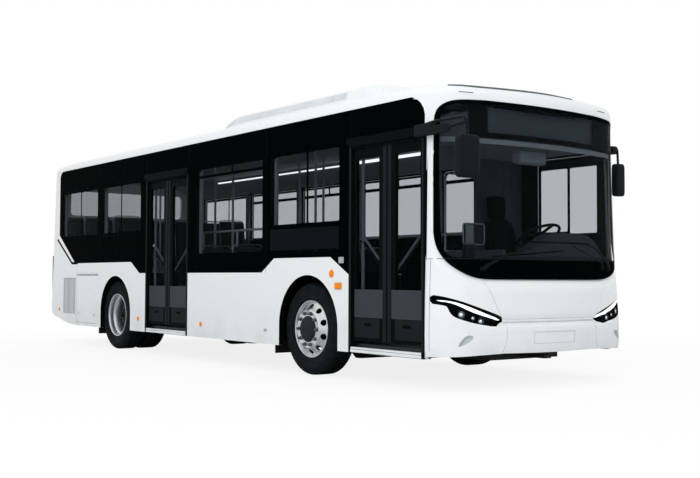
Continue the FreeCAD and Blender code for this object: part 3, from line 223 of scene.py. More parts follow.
def tube(path, radius, sides=12, closed=False):
    """A round rod of that radius carried along a path of points, with flat ends."""
    path = np.asarray(path, float)
    if closed:
        along = np.roll(path, -1, 0) - np.roll(path, 1, 0)
    else:
        along = np.gradient(path, axis=0)
    along /= np.linalg.norm(along, axis=1)[:, None]
    guide = np.where(np.abs(along[:, 2:3]) > 0.9, [[1.0, 0.0, 0.0]], [[0.0, 0.0, 1.0]])
    # A path that turns from level to upright keeps one guide, so that the rod doesn't twist
    if np.ptp(np.abs(along[:, 2])) > 0.2:
        guide = np.broadcast_to(np.array([[0.0, 1.0, 0.02]]), along.shape)
    first = np.cross(guide, along)
    first /= np.linalg.norm(first, axis=1)[:, None]
    second = np.cross(along, first)
    t = np.linspace(0.0, 2.0 * math.pi, sides, endpoint=False)[None, :, None]
    radius = np.broadcast_to(np.asarray(radius, float), (len(path),))[:, None, None]
    round_it = np.cos(t) * first[:, None] + np.sin(t) * second[:, None]
    points = path[:, None] + radius * round_it
    faces = [grid_faces(len(path), sides, closed, True)]
    if not closed:
        ends = np.arange(sides)
        faces += [ends[None, ::1], (ends[None, ::-1] + (len(path) - 1) * sides)]
    return points.reshape(-1, 3), faces


def rounded_path(corners, radius, steps=8, closed=False):
    """Straight runs through the corners, each corner rounded by a quadratic arc that starts
    and ends one radius from it."""
    corners = np.asarray(corners, float)
    count = len(corners)
    radius = np.broadcast_to(np.asarray(radius, float), (count,))
    rounded = range(count) if closed else range(1, count - 1)
    t = np.linspace(0.0, 1.0, steps)[:, None]
    runs = [] if closed else [corners[:1]]
    for i in rounded:
        before, here, after = corners[i - 1], corners[i], corners[(i + 1) % count]
        back = (before - here) / np.linalg.norm(before - here)
        on = (after - here) / np.linalg.norm(after - here)
        a, b = here + back * radius[i], here + on * radius[i]
        runs.append((1 - t) ** 2 * a + 2 * t * (1 - t) * here + t ** 2 * b)
    if not closed:
        runs.append(corners[-1:])
    return np.concatenate(runs)


def slab(low_corner, high_corner, edge=0.003):
    """A block with its twelve edges cut back by edge: two octagons-in-section stacks."""
    lo = np.minimum(low_corner, high_corner).astype(float)
    hi = np.maximum(low_corner, high_corner).astype(float)
    edge = min(edge, 0.49 * float(np.min(hi - lo)))
    rings = []
    for z, inset in ((lo[2], edge), (lo[2] + edge, 0.0), (hi[2] - edge, 0.0), (hi[2], edge)):
        (x0, y0), (x1, y1) = lo[:2] + inset, hi[:2] - inset
        a0, a1, b0, b1 = x0 + edge, x1 - edge, y0 + edge, y1 - edge
        rings.append([(a0, y0, z), (a1, y0, z), (x1, b0, z), (x1, b1, z),
                      (a1, y1, z), (a0, y1, z), (x0, b1, z), (x0, b0, z)])
    points = np.array(rings).reshape(-1, 3)
    faces = [grid_faces(4, 8, False, True)[:, ::-1],
             np.arange(8)[None, ::-1], np.arange(24, 32)[None]]
    return points, faces


def rectangle(x0, x1, z0, z1):
    return np.array([(x0, z0), (x1, z0), (x1, z1), (x0, z1)], float)


def level_line(start, end, height, count):
    """Points along a level line in a shape's two parameters."""
    return np.stack([np.linspace(start, end, count), np.full(count, height)], 1)


def drawn_in(loop, centre, distance):
    """A closed loop with every point moved straight toward a centre by a distance."""
    reach = loop - np.asarray(centre)
    return centre + reach * (1.0 - distance / np.linalg.norm(reach, axis=1))[:, None]


def mapped(flat):
    """The points of a triangulation's flat result as an array."""
    return np.array([tuple(point) for point in flat])


def walled(top, below, faces):
    """A closed wall from a sheet's points and those below them: both sheets, and a strip along
    every edge that only one face has."""
    total = len(top)
    around = np.stack([faces, np.roll(faces, -1, 1)], -1).reshape(-1, 2)
    keys = around[:, 0] * total + around[:, 1]
    rim = around[~np.isin(keys, around[:, 1] * total + around[:, 0])]
    wall = np.stack([rim[:, 1], rim[:, 0], rim[:, 0] + total, rim[:, 1] + total], 1)
    return np.concatenate([top, below]), [faces, faces[:, ::-1] + total, wall]


def inside(points, loop):
    """Which (n, 2) points lie inside a closed loop, by crossings."""
    x, y = points[:, 0, None], points[:, 1, None]
    a, b = loop, np.roll(loop, -1, 0)
    cuts = (a[None, :, 1] > y) != (b[None, :, 1] > y)
    run = np.where(np.abs(b[:, 1] - a[:, 1]) < 1e-12, 1e-12, b[:, 1] - a[:, 1])
    at = a[None, :, 0] + (y - a[None, :, 1]) * ((b[:, 0] - a[:, 0]) / run)[None]
    return (np.sum(cuts & (x < at), axis=1) % 2) == 1


def spaced(loop, step, closed=True):
    """The loop with points no further than step apart."""
    loop = np.asarray(loop, float)
    ends = np.roll(loop, -1, 0) if closed else loop[1:]
    runs = []
    for a, b in zip(loop, ends):
        count = max(1, int(math.ceil(np.linalg.norm(b - a) / step)))
        runs.append(a + (b - a) * (np.arange(count) / count)[:, None])
    if not closed:
        runs.append(loop[-1:])
    return np.concatenate(runs)


def trimmed(shape, outline, holes=(), step=0.02, depth=0.006, step_v=None, rows=()):
    """A sheet of a two-parameter shape, trimmed to an outline and holes given in its own
    parameters: points on a grid and along the loops are joined into triangles, mapped through
    the shape, and doubled at depth along the normal to give a closed wall. Rows are further
    lines of points at given values of the second parameter, where the shape turns sharply."""
    step_v = step_v or step
    scale = np.array([1.0, step / step_v])
    loops = [spaced(np.asarray(loop, float) * scale, step) for loop in (outline, *holes)]
    lo, hi = loops[0].min(0), loops[0].max(0)
    u = np.arange(lo[0] + step / 2, hi[0], step)
    v = np.arange(lo[1] + step / 2, hi[1], step)
    rows = np.asarray(rows, float) * scale[1]
    if len(rows):
        apart = np.min(np.abs(v[:, None] - rows[None]), axis=1)
        v = np.concatenate([v[apart > 0.35 * step], rows[(rows > lo[1]) & (rows < hi[1])]])
    fill = np.stack(np.meshgrid(u, v, indexing="ij"), -1).reshape(-1, 2)
    fill = fill[inside(fill, loops[0])]
    for hole in loops[1:]:
        fill = fill[~inside(fill, hole)]
    border = np.concatenate(loops)
    if len(fill):
        near = np.full(len(fill), 1e9)
        for part in np.array_split(border, max(1, len(border) // 200)):
            apart = np.linalg.norm(fill[:, None] - part[None], axis=2)
            near = np.minimum(near, np.min(apart, axis=1))
        fill = fill[near > 0.45 * step]
    edges, start = [], 0
    for loop in loops:
        own = np.arange(len(loop)) + start
        edges += list(zip(own.tolist(), np.roll(own, -1).tolist()))
        start += len(loop)
    flat = [Vector(p) for p in np.concatenate([border, fill]).tolist()]
    flat, _, faces, _, _, _ = delaunay_2d_cdt(flat, edges, [], 0, 1e-7)
    flat, faces = mapped(flat), np.array(faces, int)
    centres = flat[faces].mean(1)
    kept = inside(centres, loops[0])
    for hole in loops[1:]:
        kept &= ~inside(centres, hole)
    faces = faces[kept]
    uv = flat / scale
    points = shape(uv[:, 0], uv[:, 1])
    normals = normals_of(shape, uv[:, 0], uv[:, 1])
    first, second, third = (points[faces[:, i]] for i in range(3))
    if np.sum(np.cross(second - first, third - first) * normals[faces[:, 0]]) < 0:
        faces = faces[:, ::-1]
    return walled(points, points - depth * normals, faces)


def normals_of(shape, u, v, delta=1e-4):
    """Unit normals of a two-parameter shape, from small steps in each parameter."""
    along_u = shape(u + delta, v) - shape(u - delta, v)
    along_v = shape(u, v + delta) - shape(u, v - delta)
    normal = np.cross(along_u, along_v)
    return normal / np.maximum(np.linalg.norm(normal, axis=1), 1e-12)[:, None]


def ribbon(shape, path, width, lift=0.0006, depth=0.0012):
    """A thin strip that follows a path in a shape's two parameters, lifted off it: a seam, a
    joint line or a stripe."""
    path = np.asarray(path, float)
    centre = shape(path[:, 0], path[:, 1])
    normal = normals_of(shape, path[:, 0], path[:, 1])
    along = np.gradient(centre, axis=0)
    side = np.cross(normal, along)
    side /= np.maximum(np.linalg.norm(side, axis=1), 1e-12)[:, None]
    width = np.broadcast_to(np.asarray(width, float), (len(path),))[:, None] / 2.0
    top = lift * normal
    deep = (lift - depth) * normal
    ring = np.stack([centre - width * side + deep, centre - width * side + top,
                     centre + width * side + top, centre + width * side + deep], 1)
    count = len(path)
    faces = [grid_faces(count, 4, False, True)[:, ::-1], np.array([[0, 1, 2, 3]]),
             np.array([[3, 2, 1, 0]]) + (count - 1) * 4]
    return ring.reshape(-1, 3), faces


# ---- Finishes ------------------------------------------------------------------------------
PLAIN_RANGE = (0.3, 0.7)    # the levels that most of a noise pattern lies between
EVEN = (*PLAIN_RANGE, 1.0)


def coat(name, first, second=None, worn=EVEN, wide=(5.0, 3.0), rough=(0.5, 0.0), fine=None,
         raised=None, specular=0.5, cells=None, stretch=None, **further):
    """A finish on two patterns that read the object's own place.

    The broad one has wide's features per metre and detail, or is rows of cells with that
    randomness. It runs the colour from first to second, if there is one, between worn's two
    levels and as far as its share, and spreads the roughness about its middle. The fine one
    has that many features per metre. It, or else the broad one, is raised by a height in
    metres and a strength.
    """
    material, tree = new_material(name)
    place = add(tree, "ShaderNodeTexCoord").outputs["Object"]
    if stretch:
        place = add(tree, "ShaderNodeMapping", {"Vector": place, "Scale": stretch}).outputs[0]
    if cells is None:
        broad = add(tree, "ShaderNodeTexNoise",
                    {"Vector": place, "Scale": wide[0], "Detail": wide[1]}).outputs[0]
    else:
        broad = add(tree, "ShaderNodeTexVoronoi", {"Vector": place, "Scale": wide[0],
                                                   "Randomness": cells}).outputs["Distance"]
    inputs = {"Base Color": first, "Roughness": rough[0], "Specular IOR Level": specular,
              **further}
    if second:
        share = add(tree, "ShaderNodeMapRange", {"Value": broad, "From Min": worn[0],
                                                 "From Max": worn[1], "To Max": worn[2]})
        inputs["Base Color"] = add(tree, "ShaderNodeMix", {
            0: share.outputs[0], 6: first, 7: second}, data_type="RGBA").outputs[2]
    if rough[1]:
        inputs["Roughness"] = add(tree, "ShaderNodeMapRange", {
            "Value": broad, "From Min": PLAIN_RANGE[0], "From Max": PLAIN_RANGE[1],
            "To Min": rough[0] - rough[1], "To Max": rough[0] + rough[1]}).outputs[0]
    if fine:
        broad = add(tree, "ShaderNodeTexNoise",
                    {"Vector": place, "Scale": fine, "Detail": 2.0}).outputs[0]
    if raised:
        inputs["Normal"] = add(tree, "ShaderNodeBump", {
            "Height": broad, "Distance": raised[0], "Strength": raised[1]}).outputs[0]
    shader = add(tree, "ShaderNodeBsdfPrincipled", inputs)
    add(tree, "ShaderNodeOutputMaterial", {"Surface": shader.outputs[0]})
    return material


def white_coach_enamel(base):
    """Two-pack acrylic enamel sprayed on sheet steel and aluminium: an even cool white whose
    gloss varies with the sprayed paint (waves of about 8 mm, drawn at 25 mm so that they
    show), and a trace of road film low on the body."""
    material, tree = new_material("white_coach_enamel")
    place = add(tree, "ShaderNodeTexCoord").outputs["Object"]
    waves, film = (add(tree, "ShaderNodeTexNoise",
                       {"Vector": place, "Scale": scale, "Detail": detail}).outputs[0]
                   for scale, detail in ((40.0, 1.0), (3.0, 5.0)))
    height = add(tree, "ShaderNodeSeparateXYZ", {0: place}).outputs[2]
    lowness, patches, gloss = (
        add(tree, "ShaderNodeMapRange", {"Value": value, "From Min": start, "From Max": end,
                                         "To Min": low_out, "To Max": high_out}).outputs[0]
        for value, start, end, low_out, high_out in (
            (height, 0.30, 0.75, 0.35, 0.0), (film, 0.35, 0.75, 0.0, 1.0),
            (waves, 0.2, 0.8, 0.26, 0.32)))
    dirt = add(tree, "ShaderNodeMath", {0: lowness, 1: patches}, operation="MULTIPLY")
    colour = add(tree, "ShaderNodeMix", {0: dirt.outputs[0], 6: (*base, 1.0),
                                         7: linear("#C9CBCA")}, data_type="RGBA")
    shader = add(tree, "ShaderNodeBsdfPrincipled", {
        "Base Color": colour.outputs[2], "Roughness": gloss, "Specular IOR Level": 0.35})
    add(tree, "ShaderNodeOutputMaterial", {"Surface": shader.outputs[0]})
    return material


def black_glazing_paint(base):
    """Gloss black enamel of the window band, baked on sheet: close to no colour, and it takes
    only a faint reflection."""
    return coat("black_glazing_paint", (*base, 1.0), linear("#0A0C0E"), (0.4, 0.8, 0.3),
                (18.0, 4.0), (0.28, 0.06), specular=0.001)


def glazing(name, let_through, tint="#0D1013", gloss=0.35):
    """Toughened float glass, tinted through. It lets the given share of light through its
    thickness and mirrors a little of what stands before it."""
    # Light meets both faces of a pane, so each face takes the root of the share
    return coat(name, linear(tint), wide=(6.0, 4.0), rough=(0.03, 0.02), specular=gloss,
                IOR=1.5, Alpha=1.0 - math.sqrt(let_through))


def plastic(name, colour, rough, specular=0.4, grain=900.0, lift=0.00015):
    """Moulded ABS or polypropylene: an even colour with a fine moulded grain, drawn at about
    a millimetre."""
    dark, light = ((*(shade * value for value in linear(colour)[:3]), 1.0)
                   for shade in (0.94, 1.06))
    return coat(name, dark, light, rough=(rough, 0.04), fine=grain, raised=(lift, 0.6),
                specular=specular)


def metal(name, colour, rough, scale=300.0, spread=0.08, stretch=None):
    """Bare metal: cast, extruded or brushed. The stretch draws its grain out along an axis."""
    return coat(name, linear(colour), wide=(scale, 3.0), rough=(rough, spread),
                raised=(0.0001, 0.3), stretch=stretch, Metallic=1.0)


def coated_metal(name, colour, rough, patch="#3A3733", amount=0.35, specular=0.2):
    """Chassis enamel over steel or cast iron, with road film lying on it in patches."""
    return coat(name, linear(colour), linear(patch), (0.45, 0.75, amount), (9.0, 6.0),
                (rough, 0.1), 350.0, (0.0003, 0.5), specular)


def tyre_rubber():
    """Carbon-black rubber, moulded: nearly matt, a little greyer where dust has settled."""
    return coat("tyre_rubber", linear("#15191C"), linear("#22282C"), (0.4, 0.75, 0.6),
                (14.0, 5.0), (0.62, 0.0), 600.0, (0.0002, 0.5), 0.03)


def ribbed_floor_cover():
    """Studded vinyl flooring, dark grey with lighter quartz chips of about 2 mm."""
    return coat("ribbed_floor_cover", linear("#202327"), linear("#5A5E62"), (0.58, 0.66, 1.0),
                (260.0, 2.0), (0.6, 0.0), raised=(0.0004, 0.5))


def lens(name, colour, deep, scale=160.0):
    """Moulded acrylic lens with rows of small optics: a bright colour with darker joints."""
    return coat(name, linear(colour), linear(deep), (0.1, 0.6, 1.0), (scale,), (0.2, 0.0),
                raised=(0.001, 0.5), specular=0.1, cells=1.0)


def pierced_mesh():
    """Expanded steel mesh, powder-coated light grey: rows of small dark openings, 12 mm
    apart as on the real grille."""
    return coat("pierced_mesh", linear("#4A4E52"), linear("#D0D4D6"), (0.30, 0.36, 1.0),
                (84.0,), (0.45, 0.0), raised=(0.002, 0.6), cells=0.0)


def lit_diffuser(name, colour, strength):
    """Opal acrylic over a light source, lit from behind."""
    return coat(name, linear(colour), rough=(0.4, 0.0),
                **{"Emission Color": linear(colour), "Emission Strength": strength})


def woven_moquette(name, colour, second, sheen=0.12):
    """Wool moquette of bus seats: cut pile in a small check of two yarns. The real 3 mm
    repeat is drawn at 12 mm so that it shows."""
    material, tree = new_material(name)
    place = add(tree, "ShaderNodeTexCoord").outputs["Object"]
    check = add(tree, "ShaderNodeTexChecker", {"Vector": place, "Scale": 84.0,
                                               "Color1": linear(colour), "Color2": linear(second)})
    fibre = add(tree, "ShaderNodeTexNoise",
                {"Vector": place, "Scale": 900.0, "Detail": 2.0}).outputs[0]
    level = add(tree, "ShaderNodeMapRange", {"Value": fibre, "From Min": PLAIN_RANGE[0],
                                             "From Max": PLAIN_RANGE[1], "To Min": 0.8,
                                             "To Max": 1.2})
    shade = add(tree, "ShaderNodeHueSaturation",
                {"Value": level.outputs[0], "Color": check.outputs[0]})
    pile = add(tree, "ShaderNodeBump", {"Height": fibre, "Distance": 0.001, "Strength": 0.6})
    shader = add(tree, "ShaderNodeBsdfPrincipled", {
        "Base Color": shade.outputs[0], "Roughness": 0.9, "Specular IOR Level": 0.03,
        "Sheen Weight": sheen, "Normal": pile.outputs[0]})
    add(tree, "ShaderNodeOutputMaterial", {"Surface": shader.outputs[0]})
    return material


FINISH_ROWS = {
    # finish: (maker, the material's name, and the maker's further values)
    "screen_glass": (glazing, "screen_glass", 0.76, "#14181C", 0.06),
    "side_glass": (glazing, "side_glass", 0.64, "#0C0F12", 0.015),
    "door_glass": (glazing, "door_glass", 0.68, "#0C0F12", 0.015),
    "rear_glass": (glazing, "privacy_glass", 0.41, "#0B0D10", 0.02),
    "lamp_cover": (glazing, "clear_polycarbonate", 0.975, "#20252A", 0.03),
    "clear_pane": (glazing, "partition_glass", 0.88, "#14181C", 0.06),
    "dark_plastic": (plastic, "black_abs", "#121518", 0.45, 0.04),
    "soft_black": (plastic, "black_epdm_seal", "#0A0B0D", 0.6, 0.01, 500.0, 0.0003),
    "mirror_shell": (plastic, "mirror_shell_abs", "#12181B", 0.34, 0.05),
    # This grey is the side plates' own colour, and on the window ledge a painted highlight
    "grey_plastic": (plastic, "light_grey_abs", "#A7ABAD", 0.5),
    "liner": (plastic, "ceiling_laminate", "#7E868C", 0.55, 0.1, 300.0),
    "door_frame": (plastic, "black_anodised_door_frame", "#0C0E10", 0.42, 0.008, 400.0),
    "door_panel": (plastic, "grey_door_sheet", "#3A4045", 0.45, 0.05, 400.0),
    "cab_wall": (plastic, "charcoal_cab_laminate", "#23292E", 0.6, 0.04, 300.0),
    "joint": (plastic, "shut_line_shadow", "#54595D", 0.7),
    "dark_joint": (plastic, "deep_shut_line", "#15171A", 0.7),
    "rubber": (plastic, "bellows_rubber", "#17181A", 0.65, 0.3, 300.0, 0.0004),
    "gloss_black": (plastic, "gloss_black_polycarbonate", "#090A0C", 0.15, 0.01),
    "pale_joint": (plastic, "shut_line_grey", "#B4B9BC", 0.7),
    "band_joint": (plastic, "band_shut_line", "#14181B", 0.7, 0.02),
    "header": (plastic, "grey_header_abs", "#6B737A", 0.5, 0.08),
    "dash": (plastic, "charcoal_dash_foam", "#30363B", 0.7, 0.05, 500.0, 0.0004),
    "sign": (plastic, "sign_screen", "#3C444A", 0.5, 0.05),
    # The scoops' floors are a greyer white than the body: painted shade in the recesses
    "scoop": (plastic, "scoop_grey_enamel", "#C3C9CD", 0.35, 0.2, 400.0),
    "arch_liner": (plastic, "arch_liner_black", "#030405", 0.8, 0.001),
    "door_rail": (plastic, "grey_coated_rail", "#596067", 0.4, 0.2),
    # The pod's flanks are a greyer white: painted shade on the pod's upright sides
    "pod_flank": (plastic, "pale_grey_roof_enamel", "#DCE1E4", 0.4, 0.2, 400.0),
    # This grey, laid as a strip along the lid's foot, paints the shade over the bumper's crease
    "lid_edge": (plastic, "lid_shut_line_grey", "#C6CCD1", 0.5, 0.1, 400.0),
    "printed_glass": (plastic, "printed_glass_border", "#0B1013", 0.2, 0.01, 300.0),
    "cab_panel": (plastic, "grey_cab_laminate", "#4A5359", 0.6, 0.03, 300.0),
    "door_sheet": (plastic, "satin_black_door_sheet", "#1C2124", 0.42, 0.02, 400.0),
    "seat_shell": (plastic, "grey_seat_shell", "#1B1F24", 0.45, 0.05),
    "grille": (pierced_mesh,),
    "floor": (ribbed_floor_cover,),
    "tyre": (tyre_rubber,),
    "chassis": (coated_metal, "chassis_enamel", "#141516", 0.5),
    "cast_iron": (coated_metal, "cast_iron_black", "#1C1B1A", 0.7, "#4A3B30", 0.3),
    "hub": (coated_metal, "grey_hub_enamel", "#2B3036", 0.4, "#24272A", 0.3, 0.02),
    "rim": (metal, "polished_forged_aluminium", "#D9DDE0", 0.34, 120.0, 0.06),
    "nut": (metal, "zinc_plated_nuts", "#6E747A", 0.35),
    "chrome": (metal, "chromed_reflector", "#5E656B", 0.10, 200.0, 0.03),
    "mirror_glass": (metal, "silvered_mirror_glass", "#C8CDD2", 0.02, 20.0, 0.01),
    "pole": (metal, "satin_grey_tube", "#83898F", 0.40, 400.0, 0.08, (1.0, 1.0, 0.05)),
    "steel": (metal, "brushed_stainless_tube", "#C4C7CA", 0.3, 400.0, 0.1, (1.0, 1.0, 0.05)),
    "cloth": (woven_moquette, "seat_moquette", "#14181D", "#1D232A"),
    "driver_cloth": (woven_moquette, "driver_seat_cloth", "#07080A", "#0B0D10", 0.02),
    "tail_lens": (lens, "red_acrylic_lens", "#8E0F12", "#4C0608"),
    "amber_lens": (lens, "amber_acrylic_lens", "#FFA424", "#FA8C12", 220.0),
    "lamp_lens": (lit_diffuser, "headlamp_lens", "#F2F6FA", 0.30),
    "strip_light": (lit_diffuser, "opal_light_strip", "#F4F8FF", 1.5),
    "led_tube": (lit_diffuser, "led_light_guide", "#FFFFFF", 0.95),
}

NODE_FINISHES = [
    # finish, CAD nodes that keep their own shape
    ("white", ("roof_shell", "roof_pod", "right_skirt", "left_skirt", "front_fascia", "front_lid",
               "rear_panel", "engine_cover", "service_flap")),
    ("black", ("right_window_band", "left_window_band")),
    ("side_glass", ("right_windows", "left_windows")),
    ("rear_glass", ("rear_window",)),
    ("screen_glass", ("windscreen",)),
    ("dark_plastic", ("headlights", "wipers", "steering_wheel")),
    ("sign", ("destination_sign",)),
    ("tail_lens", ("tail_lamps",)),
    ("floor", ("low_floor", "high_floor")),
    ("arch_liner", ("wheel_boxes",)),
    ("cab_wall", ("cab_partition", "dashboard")),
    ("chassis", ("chassis_frame", "underbody_units")),
    ("cast_iron", ("engine_block", "front_axle", "rear_axle", "right_knuckle", "left_knuckle")),
    ("rubber", ("air_springs", "mudflaps")),
    ("door_frame", ("door_frames", "front_door_front_leaf", "front_door_rear_leaf",
                    "rear_door_front_leaf", "rear_door_rear_leaf")),
    ("door_glass", ("front_door_front_glass", "front_door_rear_glass", "rear_door_front_glass",
                    "rear_door_rear_glass")),
    ("steel", ("handrails",)),
    ("cloth", ("passenger_seats",)),
    ("driver_cloth", ("drivers_seat",)),
    ("liner", ("ceiling",)),
    ("mirror_shell", ("mirrors",)),
    ("grille", ("side_grille",)),
    ("tyre", ("right_front_tyre", "left_front_tyre", "right_rear_tyres", "left_rear_tyres")),
    ("rim", ("right_front_rim", "left_front_rim", "right_rear_rims", "left_rear_rims")),
]




# ---- Front surface -------------------------------------------------------------------------
# How far the nose stands back from its foremost line, at each height
NOSE_BACK = np.array([
    # height, set back
    (0.300, 0.0220), (0.345, 0.0110), (0.400, 0.0045), (0.470, 0.0010), (0.530, 0.0002),
    (0.568, 0.0012), (0.578, 0.0040), (0.584, 0.0100), (0.590, 0.0260), (0.595, 0.0420),
    (0.600, 0.0480), (0.622, 0.0480), (0.636, 0.0430), (0.650, 0.0360), (0.668, 0.0290),
    (0.684, 0.0262), (0.780, 0.0250), (0.900, 0.0238), (1.000, 0.0400), (1.300, 0.0545),
    (2.560, 0.0940), (2.700, 0.0985),
])

# Right half of the windscreen's outline, from its foot to its head: distance from the
# centre line, height
SCREEN_HALF_OUTLINE = np.array([
    (0.000, 1.000), (0.500, 1.000), (0.760, 1.001), (0.860, 1.009), (0.950, 1.031),
    (1.030, 1.064), (1.100, 1.106), (1.162, 1.165), (1.205, 1.255), (1.222, 1.350),
    (1.227, 1.450), (1.222, 1.900), (1.213, 2.400), (1.209, 2.477), (1.189, 2.546),
    (1.138, 2.592), (1.058, 2.618), (0.800, 2.634), (0.400, 2.641), (0.000, 2.644),
])

# Right headlight's outline: distance from the centre line, height
LAMP_OUTLINE = np.array([
    (1.250, 0.864), (1.195, 0.851), (1.126, 0.829), (1.020, 0.793), (0.911, 0.757),
    (0.780, 0.714), (0.653, 0.671), (0.632, 0.645), (0.616, 0.619), (0.676, 0.595),
    (0.737, 0.575), (0.855, 0.594), (0.973, 0.615), (1.045, 0.637), (1.107, 0.659),
    (1.135, 0.682), (1.150, 0.708), (1.160, 0.740), (1.170, 0.764), (1.215, 0.776),
    (1.250, 0.784),
])

# The same beside and beyond the headlights, where the bumper has no crease
SIDE_BACK = np.array([
    (0.300, 0.0220), (0.345, 0.0130), (0.400, 0.0080), (0.470, 0.0055), (0.540, 0.0060),
    (0.620, 0.0090), (0.700, 0.0140), (0.800, 0.0205), (0.900, 0.0280), (1.000, 0.0390),
    (1.100, 0.0445), (1.300, 0.0545), (2.560, 0.0940), (2.700, 0.0985),
])


def set_back(s, z):
    """Set back of the nose at an arc length and a height: the crease runs between the
    headlights and is gone where their outer halves begin."""
    outer = np.clip((np.abs(s) - 0.66) / 0.32, 0.0, 1.0)
    outer = outer * outer * (3.0 - 2.0 * outer)
    middle_back = np.interp(z, NOSE_BACK[:, 0], NOSE_BACK[:, 1])
    return middle_back + outer * (np.interp(z, SIDE_BACK[:, 0], SIDE_BACK[:, 1]) - middle_back)


# Right half of the windscreen's clear part, inside its printed border
CLEAR_HALF_OUTLINE = np.array([
    (1.050, 1.192), (1.170, 1.205), (1.235, 1.300), (1.238, 1.900), (1.225, 2.430),
    (1.180, 2.560), (1.050, 2.590), (0.000, 2.612),
])

# Right half of the front lid's outline, and the heights at which the bumper turns sharply
LID_OUTLINE = np.array([
    (0.000, 0.9975), (0.800, 0.9975), (0.826, 0.9960), (0.757, 0.868), (0.656, 0.676),
    (0.632, 0.645), (0.626, 0.6375), (0.000, 0.6375),
])
CREASE_ROWS = (0.530, 0.562, 0.575, 0.581, 0.587, 0.592, 0.597, 0.604, 0.616, 0.628, 0.640,
               0.650, 0.665, 0.680, 0.915, 0.925, 0.935, 0.945, 0.960, 0.975)


def arc_along(y):
    """Arc length round the plan from the centre line to a point y off it."""
    side = np.sign(y)
    off = np.abs(y)
    corner = np.clip((off - CORNER_Y) / CORNER_R, 0.0, 1.0)
    bow = BOW_R * np.arcsin(np.minimum(off, BOW_R * math.sin(TURN)) / BOW_R)
    round_corner = BOW_S + CORNER_R * (np.arcsin(corner) - TURN)
    return side * np.where(off <= BOW_R * math.sin(TURN), bow, round_corner)


def in_arc(outline, side=1.0):
    """(y, z) outline to (arc length, z)."""
    outline = np.asarray(outline, float)
    return np.stack([arc_along(side * outline[:, 0]), outline[:, 1]], 1)


def smoothed(loop, times=2, closed=True):
    """Corner cutting: each side keeps its middle half, so the corners round off."""
    loop = np.asarray(loop, float)
    for _ in range(times):
        ends = np.roll(loop, -1, 0) if closed else loop[1:]
        starts = loop if closed else loop[:-1]
        cuts = np.stack([0.75 * starts + 0.25 * ends, 0.25 * starts + 0.75 * ends], 1)
        cuts = cuts.reshape(-1, 2)
        loop = cuts if closed else np.concatenate([loop[:1], cuts[1:-1], loop[-1:]])
    return loop


def both_sides(half_outline):
    """A closed loop from the half on one side, mirrored about the centre line."""
    other = half_outline[::-1] * np.array([-1.0, 1.0])
    keep = np.abs(other[:, 0]) > 1e-9
    return np.concatenate([half_outline, other[keep]])


def distance_to(u, v, loop):
    """Distance from points to a closed loop's nearest side."""
    p = np.stack([np.ravel(u), np.ravel(v)], 1)[:, None]
    a = loop[None]
    run = np.roll(loop, -1, 0)[None] - a
    t = np.clip(np.sum((p - a) * run, 2) / np.maximum(np.sum(run * run, 2), 1e-12), 0.0, 1.0)
    return np.min(np.linalg.norm(p - a - t[..., None] * run, axis=2), axis=1).reshape(np.shape(u))


SCREEN_LOOP = in_arc(both_sides(smoothed(SCREEN_HALF_OUTLINE, 2, False)))


def round_plan(s, back):
    """Point of the plan outline at arc length s, its nose set back: a bow of radius 4.4 m, a
    corner of 0.375 m, then straight along the side."""
    side = np.sign(s)
    s = np.abs(s)
    bow_x = NOSE - back - BOW_R
    corner_x = bow_x + (BOW_R - CORNER_R) * math.cos(TURN)
    on_bow = s / BOW_R
    on_corner = TURN + np.clip(s - BOW_S, 0.0, CORNER_S - BOW_S) / CORNER_R
    past = np.maximum(s - CORNER_S, 0.0)
    x = np.where(s <= BOW_S, bow_x + BOW_R * np.cos(on_bow),
                 corner_x + CORNER_R * np.cos(on_corner) - past)
    y = np.where(s <= BOW_S, BOW_R * np.sin(on_bow), CORNER_Y + CORNER_R * np.sin(on_corner))
    return x, side * y


def front_shape(s, z):
    """Front of the body: the rounded plan at each height, with the crease of the bumper and
    a bevel that falls back 20 mm to the windscreen's foot over its last 78 mm."""
    back = set_back(s, z)
    near = np.clip(1.0 - distance_to(s, z, SCREEN_LOOP) / 0.078, 0.0, 1.0)
    fade = np.clip((1.50 - z) / 0.35, 0.0, 1.0) * (z < 1.5)
    bevel = 0.030 * near * fade
    x, y = round_plan(s, back + 0.35 * bevel)
    nx, ny = plan_normal(s)
    return np.stack([x - 0.65 * bevel * nx, y - 0.65 * bevel * ny, z + 0.0 * s], -1)


def plan_normal(s):
    """Outward direction of the plan outline at arc length s."""
    past = np.clip(np.abs(s) - BOW_S, 0.0, CORNER_S - BOW_S)
    turn = np.minimum(np.abs(s), BOW_S) / BOW_R + past / CORNER_R
    return np.cos(turn), np.sign(s) * np.sin(turn)


def seam_arc(z, x=None):
    """Arc length at which the front's plan reaches the seam with the side panels."""
    back = np.interp(z, SIDE_BACK[:, 0], SIDE_BACK[:, 1])
    corner_x = NOSE - back - BOW_R + (BOW_R - CORNER_R) * math.cos(TURN)
    past = np.asarray((FRONT_SEAM if x is None else x) - corner_x)
    turn = np.arccos(np.clip(past / CORNER_R, 0.0, 1.0))
    return np.where(past > 0.0, BOW_S + CORNER_R * (turn - TURN), CORNER_S - past)


def screen_shape(s, z):
    """Outer face of the glass: the front's own surface without the bevel, 4 mm below it."""
    back = np.interp(z, [0.9, 2.56, 2.7], [0.0405, 0.0940, 0.0985]) + 0.004
    x, y = round_plan(s, back)
    return np.stack([x, y - 0.004 * plan_normal(s)[1], z + 0.0 * s], -1)


def front_outline():
    """Edge of the front panels in (arc length, z): sides on the seam, and a lower edge that
    rises a little to the middle."""
    heights = np.linspace(0.345, EAVES, 60)
    side = np.stack([seam_arc(heights), heights], 1)
    foot = np.array([(1.42, 0.310), (1.25, 0.311), (1.08, 0.316), (0.85, 0.326), (0.62, 0.335),
                     (0.30, 0.331), (0.0, 0.329)])
    half = np.concatenate([foot[::-1], side])
    return both_sides(half)


PLATE_LOOP = rectangle(-0.285, 0.262, 0.415, 0.521)
